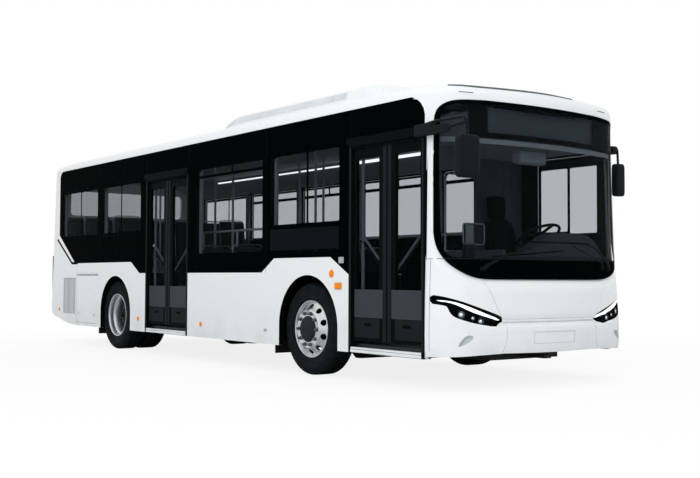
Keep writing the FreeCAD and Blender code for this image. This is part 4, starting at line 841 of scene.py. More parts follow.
# Outline of the foot scoop: distance from the centre line, height
SCOOP = np.array([(1.103, 0.397), (1.052, 0.486), (1.002, 0.508), (0.946, 0.494), (0.980, 0.452),
                  (1.047, 0.418)])


def scoop_shape(side):
    """Floor of a foot scoop: the front's surface, sunk by up to 24 mm away from its edge and
    more toward its outer lower end."""
    loop = in_arc(smoothed(SCOOP, 2), side)
    off = np.abs(loop[:, 0])

    def shape(s, z):
        inward = np.clip(distance_to(s, z, loop) / 0.022, 0.0, 1.0)
        outer = np.clip((np.abs(s) - off.min()) / np.ptp(off), 0.0, 1.0)
        nx, ny = plan_normal(s)
        deep = (0.001 + 0.038 * np.sqrt(inward)) * (0.25 + 0.75 * outer)
        return front_shape(s, z) - deep[..., None] * np.stack([nx, ny, 0.0 * nx], -1)
    return loop, shape


# ---- Roof ----------------------------------------------------------------------------------
ROOF_BOW_R = 9.8
REAR_CORNER_R = 0.15
ROOF_CREST = 2.860
ROOF_REAR = low("roof_shell")[0]


def roof_level(x, y):
    """Broad surface of the roof: a crown of radius 9.8 m across, falling by 107 mm over the
    cab and by 40 mm at the tail, where it ends."""
    crown = ROOF_CREST - ROOF_BOW_R + np.sqrt(ROOF_BOW_R ** 2 - y ** 2)
    ahead = np.clip((x - FRONT_AXLE - 1.0) / 1.2, 0.0, None)
    fall = 0.090 * ahead ** 2 * (1.0 - 0.55 * np.minimum(np.abs(y) / 1.114, 1.0) ** 3.5)
    behind = np.clip((TAIL + 1.1 - x) / 1.1, 0.0, None)
    return crown - fall - 0.040 * behind ** 2


def roof_outline(step):
    """Half of the roof's edge from the nose to the tail, with the outward direction and the
    rounding's width at each point."""
    back = float(np.interp(EAVES, NOSE_BACK[:, 0], NOSE_BACK[:, 1]))
    s = np.linspace(0.0, float(seam_arc(EAVES)), int(seam_arc(EAVES) / step))
    x, y = round_plan(s, back)
    nx, ny = plan_normal(s)
    width = np.where(ny < 0.95, 0.085 + 0.045 * ny, 0.13)
    front = np.stack([x, y, nx, ny, width], 1)
    corner_x = ROOF_REAR + REAR_CORNER_R
    sides = np.linspace(FRONT_SEAM, corner_x, int((FRONT_SEAM - corner_x) / 0.12))[1:]
    side = np.stack([sides, 0 * sides + HALF, 0 * sides, 0 * sides + 1.0, 0 * sides + 0.13], 1)
    t = np.linspace(0.0, math.pi / 2.0, 12)[1:]
    corner = np.stack([corner_x - REAR_CORNER_R * np.sin(t), HALF - REAR_CORNER_R * (1 - np.cos(t)),
                       -np.sin(t), np.cos(t), 0 * t + 0.13], 1)
    across = np.linspace(HALF - REAR_CORNER_R, 0.0, 14)[1:]
    tail = np.stack([0 * across + ROOF_REAR, across, 0 * across - 1.0, 0 * across,
                     0 * across + 0.13], 1)
    half = np.concatenate([front, side, corner, tail])
    other = half[1:-1][::-1] * np.array([1.0, -1.0, 1.0, -1.0, 1.0])
    return np.concatenate([half, other])


def roof_skin(sunk=0.0):
    """Roof surface: a rounded edge in rings that start on the wall's top line, then the broad
    crown inside them."""
    edge = roof_outline(0.05)
    base = edge[:, :2]
    level = roof_level(base[:, 0], base[:, 1])
    # The first ring is a lip inside the walls' top edge
    rings = [np.column_stack([base - 0.008 * edge[:, 2:4], 0.0 * level + EAVES - 0.030 - sunk])]
    for share in (0.0, 0.004, 0.02, 0.055, 0.11, 0.19, 0.30, 0.44, 0.60, 0.80, 1.0):
        inward = share * edge[:, 4]
        at = base - inward[:, None] * edge[:, 2:4]
        own = roof_level(at[:, 0], at[:, 1])
        round_off = 1.0 - np.sqrt(np.maximum(0.0, 1.0 - (1.0 - share) ** 2))
        z = own - (level - EAVES) * round_off
        rings.append(np.column_stack([at, z - sunk]))
    count = len(edge)
    inner = rings[-1][:, :2]
    flat, _, faces, _, _, _ = delaunay_2d_cdt(
        [Vector(p) for p in np.concatenate([inner, roof_fill(inner)]).tolist()],
        [(i, (i + 1) % count) for i in range(count)], [], 0, 1e-7)
    flat, faces = mapped(flat), np.array(faces, int)
    faces = faces[inside(flat[faces].mean(1), inner)]
    a, b, c = (flat[faces[:, i]] for i in range(3))
    spin = (b[:, 0] - a[:, 0]) * (c[:, 1] - a[:, 1]) - (b[:, 1] - a[:, 1]) * (c[:, 0] - a[:, 0])
    faces = np.where((spin > 0)[:, None], faces, faces[:, ::-1])
    crown = np.column_stack([flat, roof_level(flat[:, 0], flat[:, 1]) - sunk])
    points = np.concatenate([*rings[:-1], crown])
    ring_faces = grid_faces(len(rings), count, False, True)
    return points, ring_faces, faces + (len(rings) - 1) * count, count


def roof_fill(loop):
    """Points spread over the inside of the crown's edge."""
    x = np.arange(loop[:, 0].min() + 0.05, loop[:, 0].max(), 0.15)
    y = np.arange(loop[:, 1].min() + 0.05, loop[:, 1].max(), 0.12)
    fill = np.stack(np.meshgrid(x, y, indexing="ij"), -1).reshape(-1, 2)
    fill = fill[inside(fill, loop)]
    near = np.min(np.linalg.norm(fill[:, None] - loop[None], axis=2), axis=1)
    return fill[near > 0.05]


def edge_point(s, inward):
    """A point on the front of the roof's rounded edge: arc length along the plan, distance in."""
    back = float(np.interp(EAVES, NOSE_BACK[:, 0], NOSE_BACK[:, 1]))
    x, y = round_plan(s, back)
    nx, ny = plan_normal(s)
    width = 0.085 + 0.045 * np.abs(ny)
    share = np.clip(inward / width, 0.0, 1.0)
    at_x, at_y = x - inward * nx, y - inward * ny
    rise = roof_level(x, y) - EAVES
    round_off = 1.0 - np.sqrt(np.maximum(0.0, 1.0 - (1.0 - share) ** 2))
    z = roof_level(at_x, at_y) - rise * round_off
    return np.stack([at_x, at_y, z], -1)


def pod_shape(count_x=60, count_t=40):
    """The pod on the roof: a rounded-square section (fourth-power ellipse) whose height and
    width follow a profile along the bus, with a long slope behind and a short one in front."""
    rear, front = low("roof_pod")[0], high("roof_pod")[0]
    top = high("roof_pod")[2]
    half = high("roof_pod")[1]
    t = np.linspace(0.0, 1.0, count_x)
    # Points crowd toward the ends, where the profile turns
    x = rear + (front - rear) * (0.5 - 0.5 * np.cos(math.pi * t)) ** 0.9
    up = np.clip((x - rear) / 0.50, 0.0, 1.0)
    down = np.clip((front - x) / 0.36, 0.0, 1.0)
    rise = np.sin(0.5 * math.pi * up) ** 0.8 * np.sin(0.5 * math.pi * down) ** 0.7
    slope = np.interp(x, [rear, rear + 0.5, front - 0.36, front], [0.985, 1.0, 0.995, 0.97])
    foot = ROOF_CREST - 0.072
    height = 0.045 + (top * slope - foot - 0.045) * rise
    width = half * (0.90 + 0.10 * np.sin(0.5 * math.pi * np.minimum(up * 2.0, 1.0))) * (
        0.93 + 0.07 * np.sin(0.5 * math.pi * np.minimum(down * 2.0, 1.0)))
    angle = np.linspace(0.0, math.pi, count_t)[None]
    power = 2.0 / 5.5
    c, s = np.cos(angle), np.sin(angle)
    y = width[:, None] * np.sign(c) * np.abs(c) ** power
    z = np.minimum(foot + height[:, None] * np.abs(s) ** power, top)
    points = np.stack([np.broadcast_to(x[:, None], y.shape), y, z], -1)
    return points.reshape(-1, 3), count_x, count_t


# ---- Wheels --------------------------------------------------------------------------------
TYRE_HALF = (high("right_front_tyre")[1] - low("right_front_tyre")[1]) / 2.0
TRACK_Y = abs(middle("right_front_tyre")[1])
TWIN_PITCH = high("right_rear_tyres")[1] - low("right_rear_tyres")[1] - 2.0 * TYRE_HALF
RIM_R = (high("right_front_rim")[2] - low("right_front_rim")[2]) / 2.0


def tyre_profile():
    """Section of a 275/70 tyre, radius and place across: bead, sidewall with a rim guard and
    two fine rings, rounded shoulder, and a tread with four grooves 13 mm deep."""
    half = TYRE_HALF
    outer = [
        # radius, across
        (RIM_R - 0.009, half - 0.036), (RIM_R + 0.004, half - 0.027),
        (RIM_R + 0.012, half - 0.016), (RIM_R + 0.017, half - 0.0125),
        (RIM_R + 0.026, half - 0.0115), (RIM_R + 0.050, half - 0.0035),
        (RIM_R + 0.078, half), (RIM_R + 0.100, half - 0.001), (RIM_R + 0.103, half + 0.0008),
        (RIM_R + 0.107, half + 0.0008), (RIM_R + 0.110, half - 0.002),
        (TYRE_R - 0.048, half - 0.008), (TYRE_R - 0.045, half - 0.0065),
        (TYRE_R - 0.030, half - 0.012), (TYRE_R - 0.016, half - 0.018),
        (TYRE_R - 0.006, half - 0.028), (TYRE_R - 0.0015, half - 0.040),
    ]
    grooves = []
    for place in (0.062, 0.022, -0.022, -0.062):
        grooves += [(TYRE_R, place + 0.006), (TYRE_R - 0.013, place + 0.004),
                    (TYRE_R - 0.013, place - 0.004), (TYRE_R, place - 0.006)]
    inner = [(r, -a) for r, a in outer[::-1]]
    return np.array(outer + grooves + inner)


def tyre_at(x, y, side):
    """Tyre turned from its section, its shoulders notched into 60 blocks a turn."""
    count = 240
    points, faces = lathed(tyre_profile(), (x, y, WHEEL_Z), (0, side, 0), (1, 0, 0), count)
    grid = points.reshape(count, -1, 3)
    profile = tyre_profile()
    shoulder = (profile[:, 0] > TYRE_R - 0.020) & (np.abs(profile[:, 1]) > 0.085)
    notch = np.arange(count) % 4 == 0
    centre = np.array([x, 0.0, WHEEL_Z])
    spokes = grid - centre
    spokes[..., 1] = 0.0
    spokes /= np.linalg.norm(spokes, axis=2)[..., None]
    grid -= 0.005 * (notch[:, None] & shoulder[None])[..., None] * spokes
    return grid.reshape(-1, 3), faces


def circle(radius, count=48, at=(0.0, 0.0), stretch=(1.0, 1.0), turn=0.0):
    """Points of a circle or an oval, stretched and then turned about its centre."""
    t = np.linspace(0.0, 2.0 * math.pi, count, endpoint=False)
    x, y = radius * stretch[0] * np.cos(t), radius * stretch[1] * np.sin(t)
    c, s = math.cos(turn), math.sin(turn)
    return np.stack([at[0] + c * x - s * y, at[1] + s * x + c * y], 1)


def wheel_disc(x, y, side, profile, hole_r, hole_size, hole_count=10):
    """Pressed disc of a rim: its face follows a (radius, outward) profile, and the hand holes
    are ovals on a ring."""
    profile = np.asarray(profile, float)

    def shape(u, v):
        radius = np.hypot(u, v)
        out = np.interp(radius, profile[:, 0], profile[:, 1])
        return np.stack([x + u, y + side * out, WHEEL_Z - side * v], -1)
    holes = [circle(profile[0, 0], 40)]
    for i in range(hole_count):
        turn = 2.0 * math.pi * (i + 0.5) / hole_count
        holes.append(circle(hole_size, 18, (hole_r * math.cos(turn), hole_r * math.sin(turn)),
                            (0.82, 1.12), turn))
    return trimmed(shape, circle(profile[-1, 0], 120), holes, 0.013, 0.008)


def wheel_nuts(x, y, side, out, ring_r=0.1675, count=10):
    """Hexagon nuts with a washer below and the stud's end above."""
    shapes = []
    for i in range(count):
        turn = 2.0 * math.pi * i / count
        centre = (x + ring_r * math.cos(turn), y + side * out, WHEEL_Z + ring_r * math.sin(turn))
        nut = [(0.0, -0.004), (0.021, -0.004), (0.021, 0.004), (0.0165, 0.005), (0.0165, 0.021),
               (0.013, 0.024), (0.0105, 0.024), (0.0105, 0.031), (0.009, 0.033), (0.0, 0.033)]
        shapes.append(turned(nut, centre, (0, side, 0), (1, 0, 0), 12))
    return joined(shapes)


def turned(profile, centre, axis, across, count=64):
    """A solid turned from an open (radius, along) profile that starts and ends on the axis."""
    profile = np.asarray(profile, float)
    axis, across = np.asarray(axis, float), np.asarray(across, float)
    third = np.cross(axis, across)
    t = np.linspace(0.0, 2.0 * math.pi, count, endpoint=False)[None, :, None]
    middle_rows = profile[1:-1]
    rings = (np.asarray(centre) + middle_rows[:, None, 1, None] * axis
             + middle_rows[:, None, 0, None] * (np.cos(t) * across + np.sin(t) * third))
    ends = np.asarray(centre) + profile[[0, -1], 1][:, None] * axis
    total = len(middle_rows) * count
    i = np.arange(count)
    start = np.stack([np.full(count, total), (i + 1) % count, i], 1)
    last = total - count
    stop = np.stack([np.full(count, total + 1), last + i, last + (i + 1) % count], 1)
    return (np.concatenate([rings.reshape(-1, 3), ends]),
            [grid_faces(len(middle_rows), count, False, True)[:, ::-1], start, stop])


FRONT_BARREL = [
    # radius, outward from the tyre's centre
    (0.2910, -0.104), (0.2910, 0.100), (0.2990, 0.107), (0.2995, 0.1145), (0.2960, 0.1185),
    (0.2900, 0.1180), (0.2850, 0.1120), (0.2820, 0.1000), (0.2815, 0.0400), (0.2790, 0.0300),
    (0.2790, -0.0500), (0.2760, -0.104),
]
REAR_BARREL = [
    (0.2910, -0.104), (0.2910, 0.100), (0.2990, 0.107), (0.2995, 0.1145), (0.2960, 0.1185),
    (0.2880, 0.1175), (0.2820, 0.1080), (0.2790, 0.0900), (0.2785, 0.0500), (0.2700, 0.0420),
    (0.2570, 0.0380), (0.2520, 0.0300), (0.2500, -0.0300), (0.2470, -0.0620), (0.2480, -0.104),
]
FRONT_DISC = [
    # radius, outward
    (0.0900, 0.1540), (0.1450, 0.1540), (0.1800, 0.1540), (0.1880, 0.1580), (0.1930, 0.1590),
    (0.1980, 0.1560), (0.2040, 0.1480), (0.2120, 0.1360), (0.2250, 0.1210), (0.2400, 0.1080),
    (0.2560, 0.0960), (0.2700, 0.0880), (0.2810, 0.0850),
]
REAR_DISC = [
    (0.0900, -0.0600), (0.1320, -0.0600), (0.1850, -0.0600), (0.1950, -0.0640),
    (0.2150, -0.0760), (0.2400, -0.0800), (0.2480, -0.0800),
]
FRONT_HUB = [
    (0.0, 0.1840), (0.070, 0.1835), (0.104, 0.1810), (0.118, 0.1760), (0.1270, 0.1680),
    (0.1330, 0.1600), (0.1360, 0.1560), (0.1360, 0.1500), (0.0, 0.1500),
]
REAR_HUB = [
    (0.0, 0.0250), (0.050, 0.0245), (0.080, 0.0200), (0.094, 0.0080), (0.1000, -0.0100),
    (0.1040, -0.0350), (0.1250, -0.0420), (0.1300, -0.0500), (0.1300, -0.0640), (0.0, -0.0640),
]


# ---- Lamps, mirrors and wipers -------------------------------------------------------------
LED_BAR = np.array([
    # distance from the centre line, height: upper edge outward in, then lower edge back
    (1.224, 0.8225), (1.127, 0.8085), (1.020, 0.7730), (0.911, 0.7330), (0.780, 0.6850),
    (0.655, 0.6400), (0.645, 0.6290), (0.668, 0.6220), (0.800, 0.6590), (0.968, 0.7120),
    (1.090, 0.7680), (1.150, 0.7930), (1.224, 0.8060),
])
LAMP_BOWLS = [
    # distance from the centre line, height, radius
    (1.061, 0.6880, 0.0330), (0.948, 0.6560, 0.0200), (0.862, 0.6290, 0.0300),
]
# Sections of a lamp's bowl and bulb: share of the lamp's radius, metres outward
BOWL_PROFILE = [(0.60, -0.006), (1.0, 0.006), (1.0, 0.010), (0.90, 0.010), (0.72, 0.002),
                (0.50, -0.004)]
BULB_PROFILE = [(0.0, -0.004), (0.52, -0.004), (0.52, 0.000), (0.42, 0.006), (0.22, 0.0095),
                (0.0, 0.0105)]
WIPER_RODS = [
    # y and z from, y and z to, distances off the glass, radii
    ((-0.840, 1.098), (-0.770, 1.142), (0.030, 0.036), (0.019, 0.017)),
    ((-0.775, 1.139), (-0.560, 1.235), (0.036, 0.040), (0.016, 0.011)),
    ((-0.560, 1.235), (-0.300, 1.296), (0.040, 0.036), (0.010, 0.007)),
    ((0.872, 1.118), (0.820, 1.178), (0.030, 0.036), (0.018, 0.016)),
    ((0.822, 1.176), (0.640, 1.300), (0.036, 0.040), (0.013, 0.009)),
    ((0.640, 1.300), (0.490, 1.342), (0.040, 0.036), (0.009, 0.006)),
    ((0.760, 1.120), (0.736, 1.166), (0.028, 0.036), (0.014, 0.012)),
    ((0.738, 1.164), (0.270, 1.322), (0.036, 0.036), (0.008, 0.006)),
]
# Section of a round tail lamp lens: radius, metres outward
TAIL_LENS = [(0.0, -0.010), (0.040, -0.010), (0.040, 0.001), (0.034, 0.004), (0.022, 0.006),
             (0.010, 0.007), (0.0, 0.007)]


def sunk(shape, distance):
    """The shape moved inward along its normals."""
    def moved(u, v):
        u, v = np.broadcast_arrays(np.asarray(u, float), np.asarray(v, float))
        return shape(u, v) - distance * normals_of(shape, u.ravel(), v.ravel()).reshape(*u.shape, 3)
    return moved


def shrunk(loop, distance):
    """A closed loop moved toward its inside by a distance."""
    loop = np.asarray(loop, float)
    along = np.roll(loop, -1, 0) - np.roll(loop, 1, 0)
    along /= np.maximum(np.linalg.norm(along, axis=1), 1e-12)[:, None]
    normal = np.stack([-along[:, 1], along[:, 0]], 1)
    area = np.sum(loop[:, 0] * np.roll(loop[:, 1], -1) - loop[:, 1] * np.roll(loop[:, 0], -1))
    return loop + (distance if area > 0 else -distance) * normal


def collar(shape, loop, depths, width):
    """A closed band along a loop on a shape, from one depth below it to another."""
    loop = spaced(loop, 0.02)
    inner = shrunk(loop, width)
    near, far = depths
    rings = [sunk(shape, depth)(ring[:, 0], ring[:, 1])
             for ring, depth in ((loop, near), (inner, near), (inner, far), (loop, far))]
    points = np.stack(rings, 1)
    return points.reshape(-1, 3), [grid_faces(len(loop), 4, True, True)]


def screen_out(y, z, out):
    """Points a distance ahead of the windscreen."""
    s = arc_along(np.atleast_1d(np.asarray(y, float)))
    z = np.atleast_1d(np.asarray(z, float))
    return sunk(screen_shape, -np.asarray(out))(s, z)


def rounded_block(centre, half, power=0.28, rows=28, columns=44):
    """A block with every edge and face rounded: a superellipsoid of the given half sizes."""
    u = np.linspace(-math.pi / 2.0, math.pi / 2.0, rows)[1:-1, None]
    v = np.linspace(-math.pi, math.pi, columns, endpoint=False)[None]

    def soft(value):
        return np.sign(value) * np.abs(value) ** power
    x = half[0] * soft(np.cos(u)) * soft(np.cos(v))
    y = half[1] * soft(np.cos(u)) * soft(np.sin(v))
    z = half[2] * soft(np.sin(u)) + 0.0 * v
    points = np.stack([x, y, z], -1).reshape(-1, 3) + np.asarray(centre)
    poles = np.asarray(centre) + np.array([[0, 0, -half[2]], [0, 0, half[2]]])
    count = len(points)
    j = np.arange(columns)
    low_cap = np.stack([np.full(columns, count), (j + 1) % columns, j], 1)
    last = count - columns
    high_cap = np.stack([np.full(columns, count + 1), last + j, last + (j + 1) % columns], 1)
    return np.concatenate([points, poles]), [grid_faces(rows - 2, columns, False, True)[:, ::-1],
                                             low_cap, high_cap]


def side_sheet(side, out=0.0):
    """The bus's side in X and height: flat, then turning in along the plan's corner."""
    def shape(x, z):
        x, z = np.broadcast_arrays(np.asarray(x, float), np.asarray(z, float))
        back = np.interp(z, SIDE_BACK[:, 0], SIDE_BACK[:, 1])
        corner_x = NOSE - back - BOW_R + (BOW_R - CORNER_R) * math.cos(TURN)
        past = np.clip(x - corner_x, 0.0, 0.9 * CORNER_R)
        y = CORNER_Y + np.sqrt(CORNER_R ** 2 - past ** 2) + out
        return np.stack([x, side * y, z], -1)
    return shape


def rounded_loop(loop, radius, steps=7):
    return rounded_path(np.asarray(loop, float), radius, steps, True)


# ---- Sides ---------------------------------------------------------------------------------
WINDOW_TOP = high("right_windows")[2]
LOW_SILL = low("right_windows")[2]
HIGH_SILL = LOW_SILL + 0.310

# Openings left clear in each pane, from the front axle: start, end, foot, head
RIGHT_PANES = [
    # pane's start, end, foot, and its clear openings
    (-6.780, -5.350, HIGH_SILL, [(-6.735, -6.014, 1.640, 2.290), (-5.986, -5.385, 1.640, 2.290)]),
    (-5.250, -3.910, HIGH_SILL, [(-5.215, -4.574, 1.640, 2.290), (-4.546, -3.945, 1.640, 2.290)]),
    (-2.390, -0.830, LOW_SILL, [(-2.378, -0.842, 1.302, 2.212), (-2.378, -1.524, 2.244, 2.320),
                                (-1.498, -0.842, 2.244, 2.320)]),
    (-0.680, 0.610, LOW_SILL, [(-0.671, 0.024, 1.582, 2.318), (0.056, 0.602, 1.582, 2.318)]),
]
LEFT_PANES = [
    (-6.780, -5.350, HIGH_SILL, [(-6.735, -6.014, 1.640, 2.290), (-5.986, -5.385, 1.640, 2.290)]),
    (-5.250, -3.910, HIGH_SILL, [(-5.215, -3.945, 1.640, 2.178), (-5.215, -4.574, 2.220, 2.298),
                                 (-4.546, -3.945, 2.220, 2.298)]),
    (-3.790, -2.480, LOW_SILL, [(-3.755, -2.515, 1.575, 2.178), (-3.755, -3.154, 2.220, 2.298),
                                (-3.126, -2.515, 2.220, 2.298)]),
    (-2.330, -0.830, LOW_SILL, [(-2.290, -0.868, 1.575, 2.178), (-2.290, -1.594, 2.220, 2.298),
                                (-1.566, -0.868, 2.220, 2.298)]),
    (-0.680, 0.610, LOW_SILL, [(-0.645, 0.572, 1.575, 2.178), (-0.645, -0.049, 2.220, 2.298),
                               (-0.021, 0.572, 2.220, 2.298)]),
    (0.890, 1.765, 1.450, [(0.935, 1.318, 1.525, 2.212), (1.352, 1.728, 1.500, 2.212)]),
]

# Wheel arches: centre ahead of the axle, radius, centre's height
FRONT_ARCH = (FRONT_AXLE + 0.044, TYRE_R + 0.0575, WHEEL_Z + 0.0245)
REAR_ARCH = (REAR_AXLE + 0.096, TYRE_R + 0.0225, WHEEL_Z + 0.0505)

# Upright joints of the band, from the front axle: place, foot, head
BAND_JOINTS = [(-5.310, 1.225, 2.655), (-3.760, 1.225, 2.655), (-2.570, 1.075, 2.655),
               (-0.770, 1.075, 2.655), (0.790, 2.385, 2.655)]
# White pieces that round off the band's upper corners, from the front axle: place, height
FRONT_BAND_CORNER = [
    (1.700, 2.6625), (1.745, 2.655), (1.790, 2.634), (1.832, 2.598), (1.862, 2.548),
    (1.875, 2.490), (1.876, 2.280), (1.9065, 2.280), (1.9065, 2.6625),
]
REAR_BAND_CORNER = [
    (-6.872, 2.6625), (-6.872, 2.500), (-6.866, 2.560), (-6.846, 2.610), (-6.806, 2.646),
    (-6.740, 2.6625),
]
# Round marker lamps, from the front axle: place, height, radius
SIDE_MARKERS = [(-6.830, 0.510, 0.026), (-3.990, 0.456, 0.030), (-2.240, 0.447, 0.030),
                (0.475, 1.054, 0.039)]

# Doorways: each door's start and end
DOORS = {
    "front": (FRONT_AXLE + 0.764, FRONT_AXLE + 1.895),
    "rear": (REAR_AXLE + 1.064, REAR_AXLE + 2.252),
}
LEAF_FACE = -HALF + 0.028


def arch_lining(arch, side, thickness=0.005, depth=0.060):
    """A bent strip that lines the wheel opening, from the panel's face inward."""
    x, radius, z = arch
    t = np.linspace(math.pi, 0.0, 49)
    radii = radius - 0.0006 - np.array([0.0, thickness])
    rings = []
    for r, y in ((radii[0], 0.0012), (radii[1], 0.0012), (radii[1], depth), (radii[0], depth)):
        line = np.stack([x + r * np.cos(t), z + r * np.sin(t)], 1)
        line = np.concatenate([[(x - r, SILL + 0.002)], line, [(x + r, SILL + 0.002)]])
        rings.append(np.stack([line[:, 0], 0 * line[:, 0] + side * (HALF - y), line[:, 1]], 1))
    points = np.stack(rings, 1)
    count = len(points)
    return points.reshape(-1, 3), [grid_faces(count, 4, False, True), np.array([[3, 2, 1, 0]]),
                                   np.array([[0, 1, 2, 3]]) + 4 * (count - 1)]


def pane_border(side, pane):
    """Black border and bars over one pane, with its clear openings."""
    start, end, foot, openings = pane
    gap = 0.002
    outline = rounded_loop(rectangle(start + gap, end - gap, foot + gap, WINDOW_TOP - gap), 0.044)
    holes = [rounded_loop(rectangle(*opening), 0.022, 6) for opening in openings]
    shift = np.array([FRONT_AXLE, 0.0])
    return trimmed(side_sheet(side, 0.0014), outline + shift, [hole + shift for hole in holes],
                   0.08, 0.0030)


def side_line(side, points, width, lift=0.0006):
    """A strip along points of the bus's side, given from the front axle."""
    path = spaced(np.asarray(points, float) + np.array([FRONT_AXLE, 0.0]), 0.05, False)
    return ribbon(side_sheet(side), path, width, lift)


def lens_disc(x, y, z, radius, axis=(0, -1, 0), rise=0.010):
    """A round marker lamp: a shallow dome with a flat rim."""
    profile = [(0.0, -0.002), (radius, -0.002), (radius, 0.35 * rise), (radius * 0.86, 0.5 * rise),
               (radius * 0.6, 0.85 * rise), (radius * 0.3, 0.97 * rise), (0.0, rise)]
    across = (1, 0, 0) if abs(axis[0]) < 0.5 else (0, 1, 0)
    return turned(profile, (x, y, z), axis, across, 32)


# ---- Cabin ---------------------------------------------------------------------------------
SEAT_TOP = 0.440
SEAT_WIDTH = 0.430
BOX_SEAT_FLOOR = high("wheel_boxes")[2]


# Poles' places on each side and the ceiling lights' runs, from the front axle
RIGHT_POLES = (-5.340, -4.140, -3.650, -3.170, -1.220)
LEFT_POLES = (-5.340, -3.300, -2.450, -1.900, -1.360)
LIGHT_RUNS = [(-5.530, -4.690), (-4.660, -4.370), (-4.345, -1.980), (-1.950, -0.350)]


def row_places(start, end, pitch=0.700):
    """Even places from start to end, at least a pitch apart."""
    count = 1 + int((end - start) // pitch)
    return np.linspace(start, end, count)


def seat_places():
    """Every passenger seat: its place, its floor, and the share of the full back's height."""
    riser = low("low_floor")[0]
    window_y, aisle_y, box_y = HALF - 0.290, HALF - 0.745, HALF - 0.395
    places = []
    for x in row_places(riser + 0.930, FRONT_AXLE - 1.450):
        places += [(x, y, LOW_FLOOR, 1.0) for y in (window_y, aisle_y)]
    for x in row_places(REAR_AXLE + 2.252 + 0.488, FRONT_AXLE - 1.350):
        places.append((x, -window_y, LOW_FLOOR, 1.0))
    for x in (REAR_AXLE - 0.950, REAR_AXLE - 1.650):
        places += [(x, y, HIGH_FLOOR, 1.0) for y in (window_y, aisle_y, -aisle_y, -window_y)]
    places += [(REAR_AXLE - 0.120, y, BOX_SEAT_FLOOR, 0.66) for y in (box_y, -box_y)]
    return places


def leaned(points, lean=0.083, pivot=SEAT_TOP):
    """Points above the pivot height tipped back by the lean."""
    points = np.array(points, float)
    points[:, 0] -= lean * np.clip(points[:, 2] - pivot, 0.0, None)
    return points


def stuffed(name, shape, voxel, cap, pressure=4.0):
    """Points and faces of a padded form: the shape is remeshed evenly, blown up as cloth for
    20 frames without gravity, and no point moves further than cap."""
    piece = to_mesh(name, *shape)
    remesh = piece.modifiers.new("Remesh", "REMESH")
    remesh.mode = "VOXEL"
    remesh.voxel_size = voxel

    def evaluated():
        graph = bpy.context.evaluated_depsgraph_get()
        return bpy.data.meshes.new_from_object(piece.evaluated_get(graph))
    even = evaluated()
    piece.modifiers.clear()
    piece.data = even
    start = np.empty(len(even.vertices) * 3)
    even.vertices.foreach_get("co", start)
    start = start.reshape(-1, 3)
    points = start
    cloth = piece.modifiers.new("Cloth", "CLOTH")
    cloth.settings.use_pressure = True
    cloth.settings.uniform_pressure_force = pressure
    cloth.settings.effector_weights.gravity = 0.0
    scene = bpy.context.scene
    for frame_number in range(1, 21):
        scene.frame_set(frame_number)
    swollen = evaluated()
    points = np.empty(len(swollen.vertices) * 3)
    swollen.vertices.foreach_get("co", points)
    moved = points.reshape(-1, 3) - start
    length = np.maximum(np.linalg.norm(moved, axis=1), 1e-9)[:, None]
    points = start + moved * np.minimum(length, cap) / length
    piece.modifiers.clear()
    scene.frame_set(1)
    faces = [np.array([tuple(p.vertices) for p in even.polygons if len(p.vertices) == n])
             for n in (3, 4)]
    bpy.data.objects.remove(piece)
    return points, faces


def seat_pad_shape():
    """Cushion and back of a city seat, a little smaller than they end: two rounded blocks,
    each with a shallow channel where its cover is sewn down."""
    half, roundness = 0.196, 0.22
    cushion, faces_a = rounded_block((0.010, 0.0, SEAT_TOP - 0.034), (half, half, 0.028),
                                     roundness, 24, 56)
    back, faces_b = rounded_block((-0.176, 0.0, SEAT_TOP + 0.282), (0.022, half, 0.272),
                                  roundness, 40, 56)
    for points, along in ((cushion, 0), (back, 2)):
        centre = points.mean(0)
        groove = np.exp(-(((points[:, along] - centre[along]) / 0.016) ** 2))
        thin = 2 if along == 0 else 0
        points[:, thin] += (centre[thin] - points[:, thin]) * 0.35 * groove
    return joined([(cushion, faces_a), (leaned(back), faces_b)])


def placed(shape, place, share):
    """A seat's shape moved to its place, with its back shortened to a share of its height."""
    points, faces = shape
    points = np.array(points, float)
    over = SEAT_TOP + 0.020
    points[:, 2] = np.where(points[:, 2] > over, over + (points[:, 2] - over) * share, points[:, 2])
    return points + np.asarray(place), faces


def dash_shape():
    """Moulded dashboard: a closed skin over x and y whose height is the shelf plus a broad
    hood ahead of the driver, h = shelf + 0.25 exp(-(dy / 0.56)^4) exp(-(dx / 0.15)^4)."""
    x = np.linspace(NOSE - 0.600, NOSE - 0.135, 44)
    y = np.linspace(-0.560, CORNER_Y + 0.290, 90)
    x, y = np.meshgrid(x, y, indexing="ij")
    ahead = np.clip((x - NOSE + 0.6) / 0.465, 0.0, 1.0)
    bowed = x - (BOW_R - np.sqrt(BOW_R ** 2 - y ** 2)) * ahead
    bowed -= 0.11 * np.clip((y - 0.80) / 0.39, 0.0, 1.0) ** 2 * ahead
    hood = 0.250 * np.exp(-((y - 0.52) / 0.56) ** 4) * np.exp(-((x - NOSE + 0.330) / 0.150) ** 4)
    ends = 0.045 * (np.exp(-((y + 0.56) / 0.03) ** 2) + np.exp(-((x - NOSE + 0.6) / 0.03) ** 2))
    top = np.stack([bowed, y, 1.215 + hood - ends], -1).reshape(-1, 3)
    foot = top * np.array([1.0, 1.0, 0.0]) + np.array([0.0, 0.0, 1.0])
    return walled(top, foot, grid_faces(*x.shape))


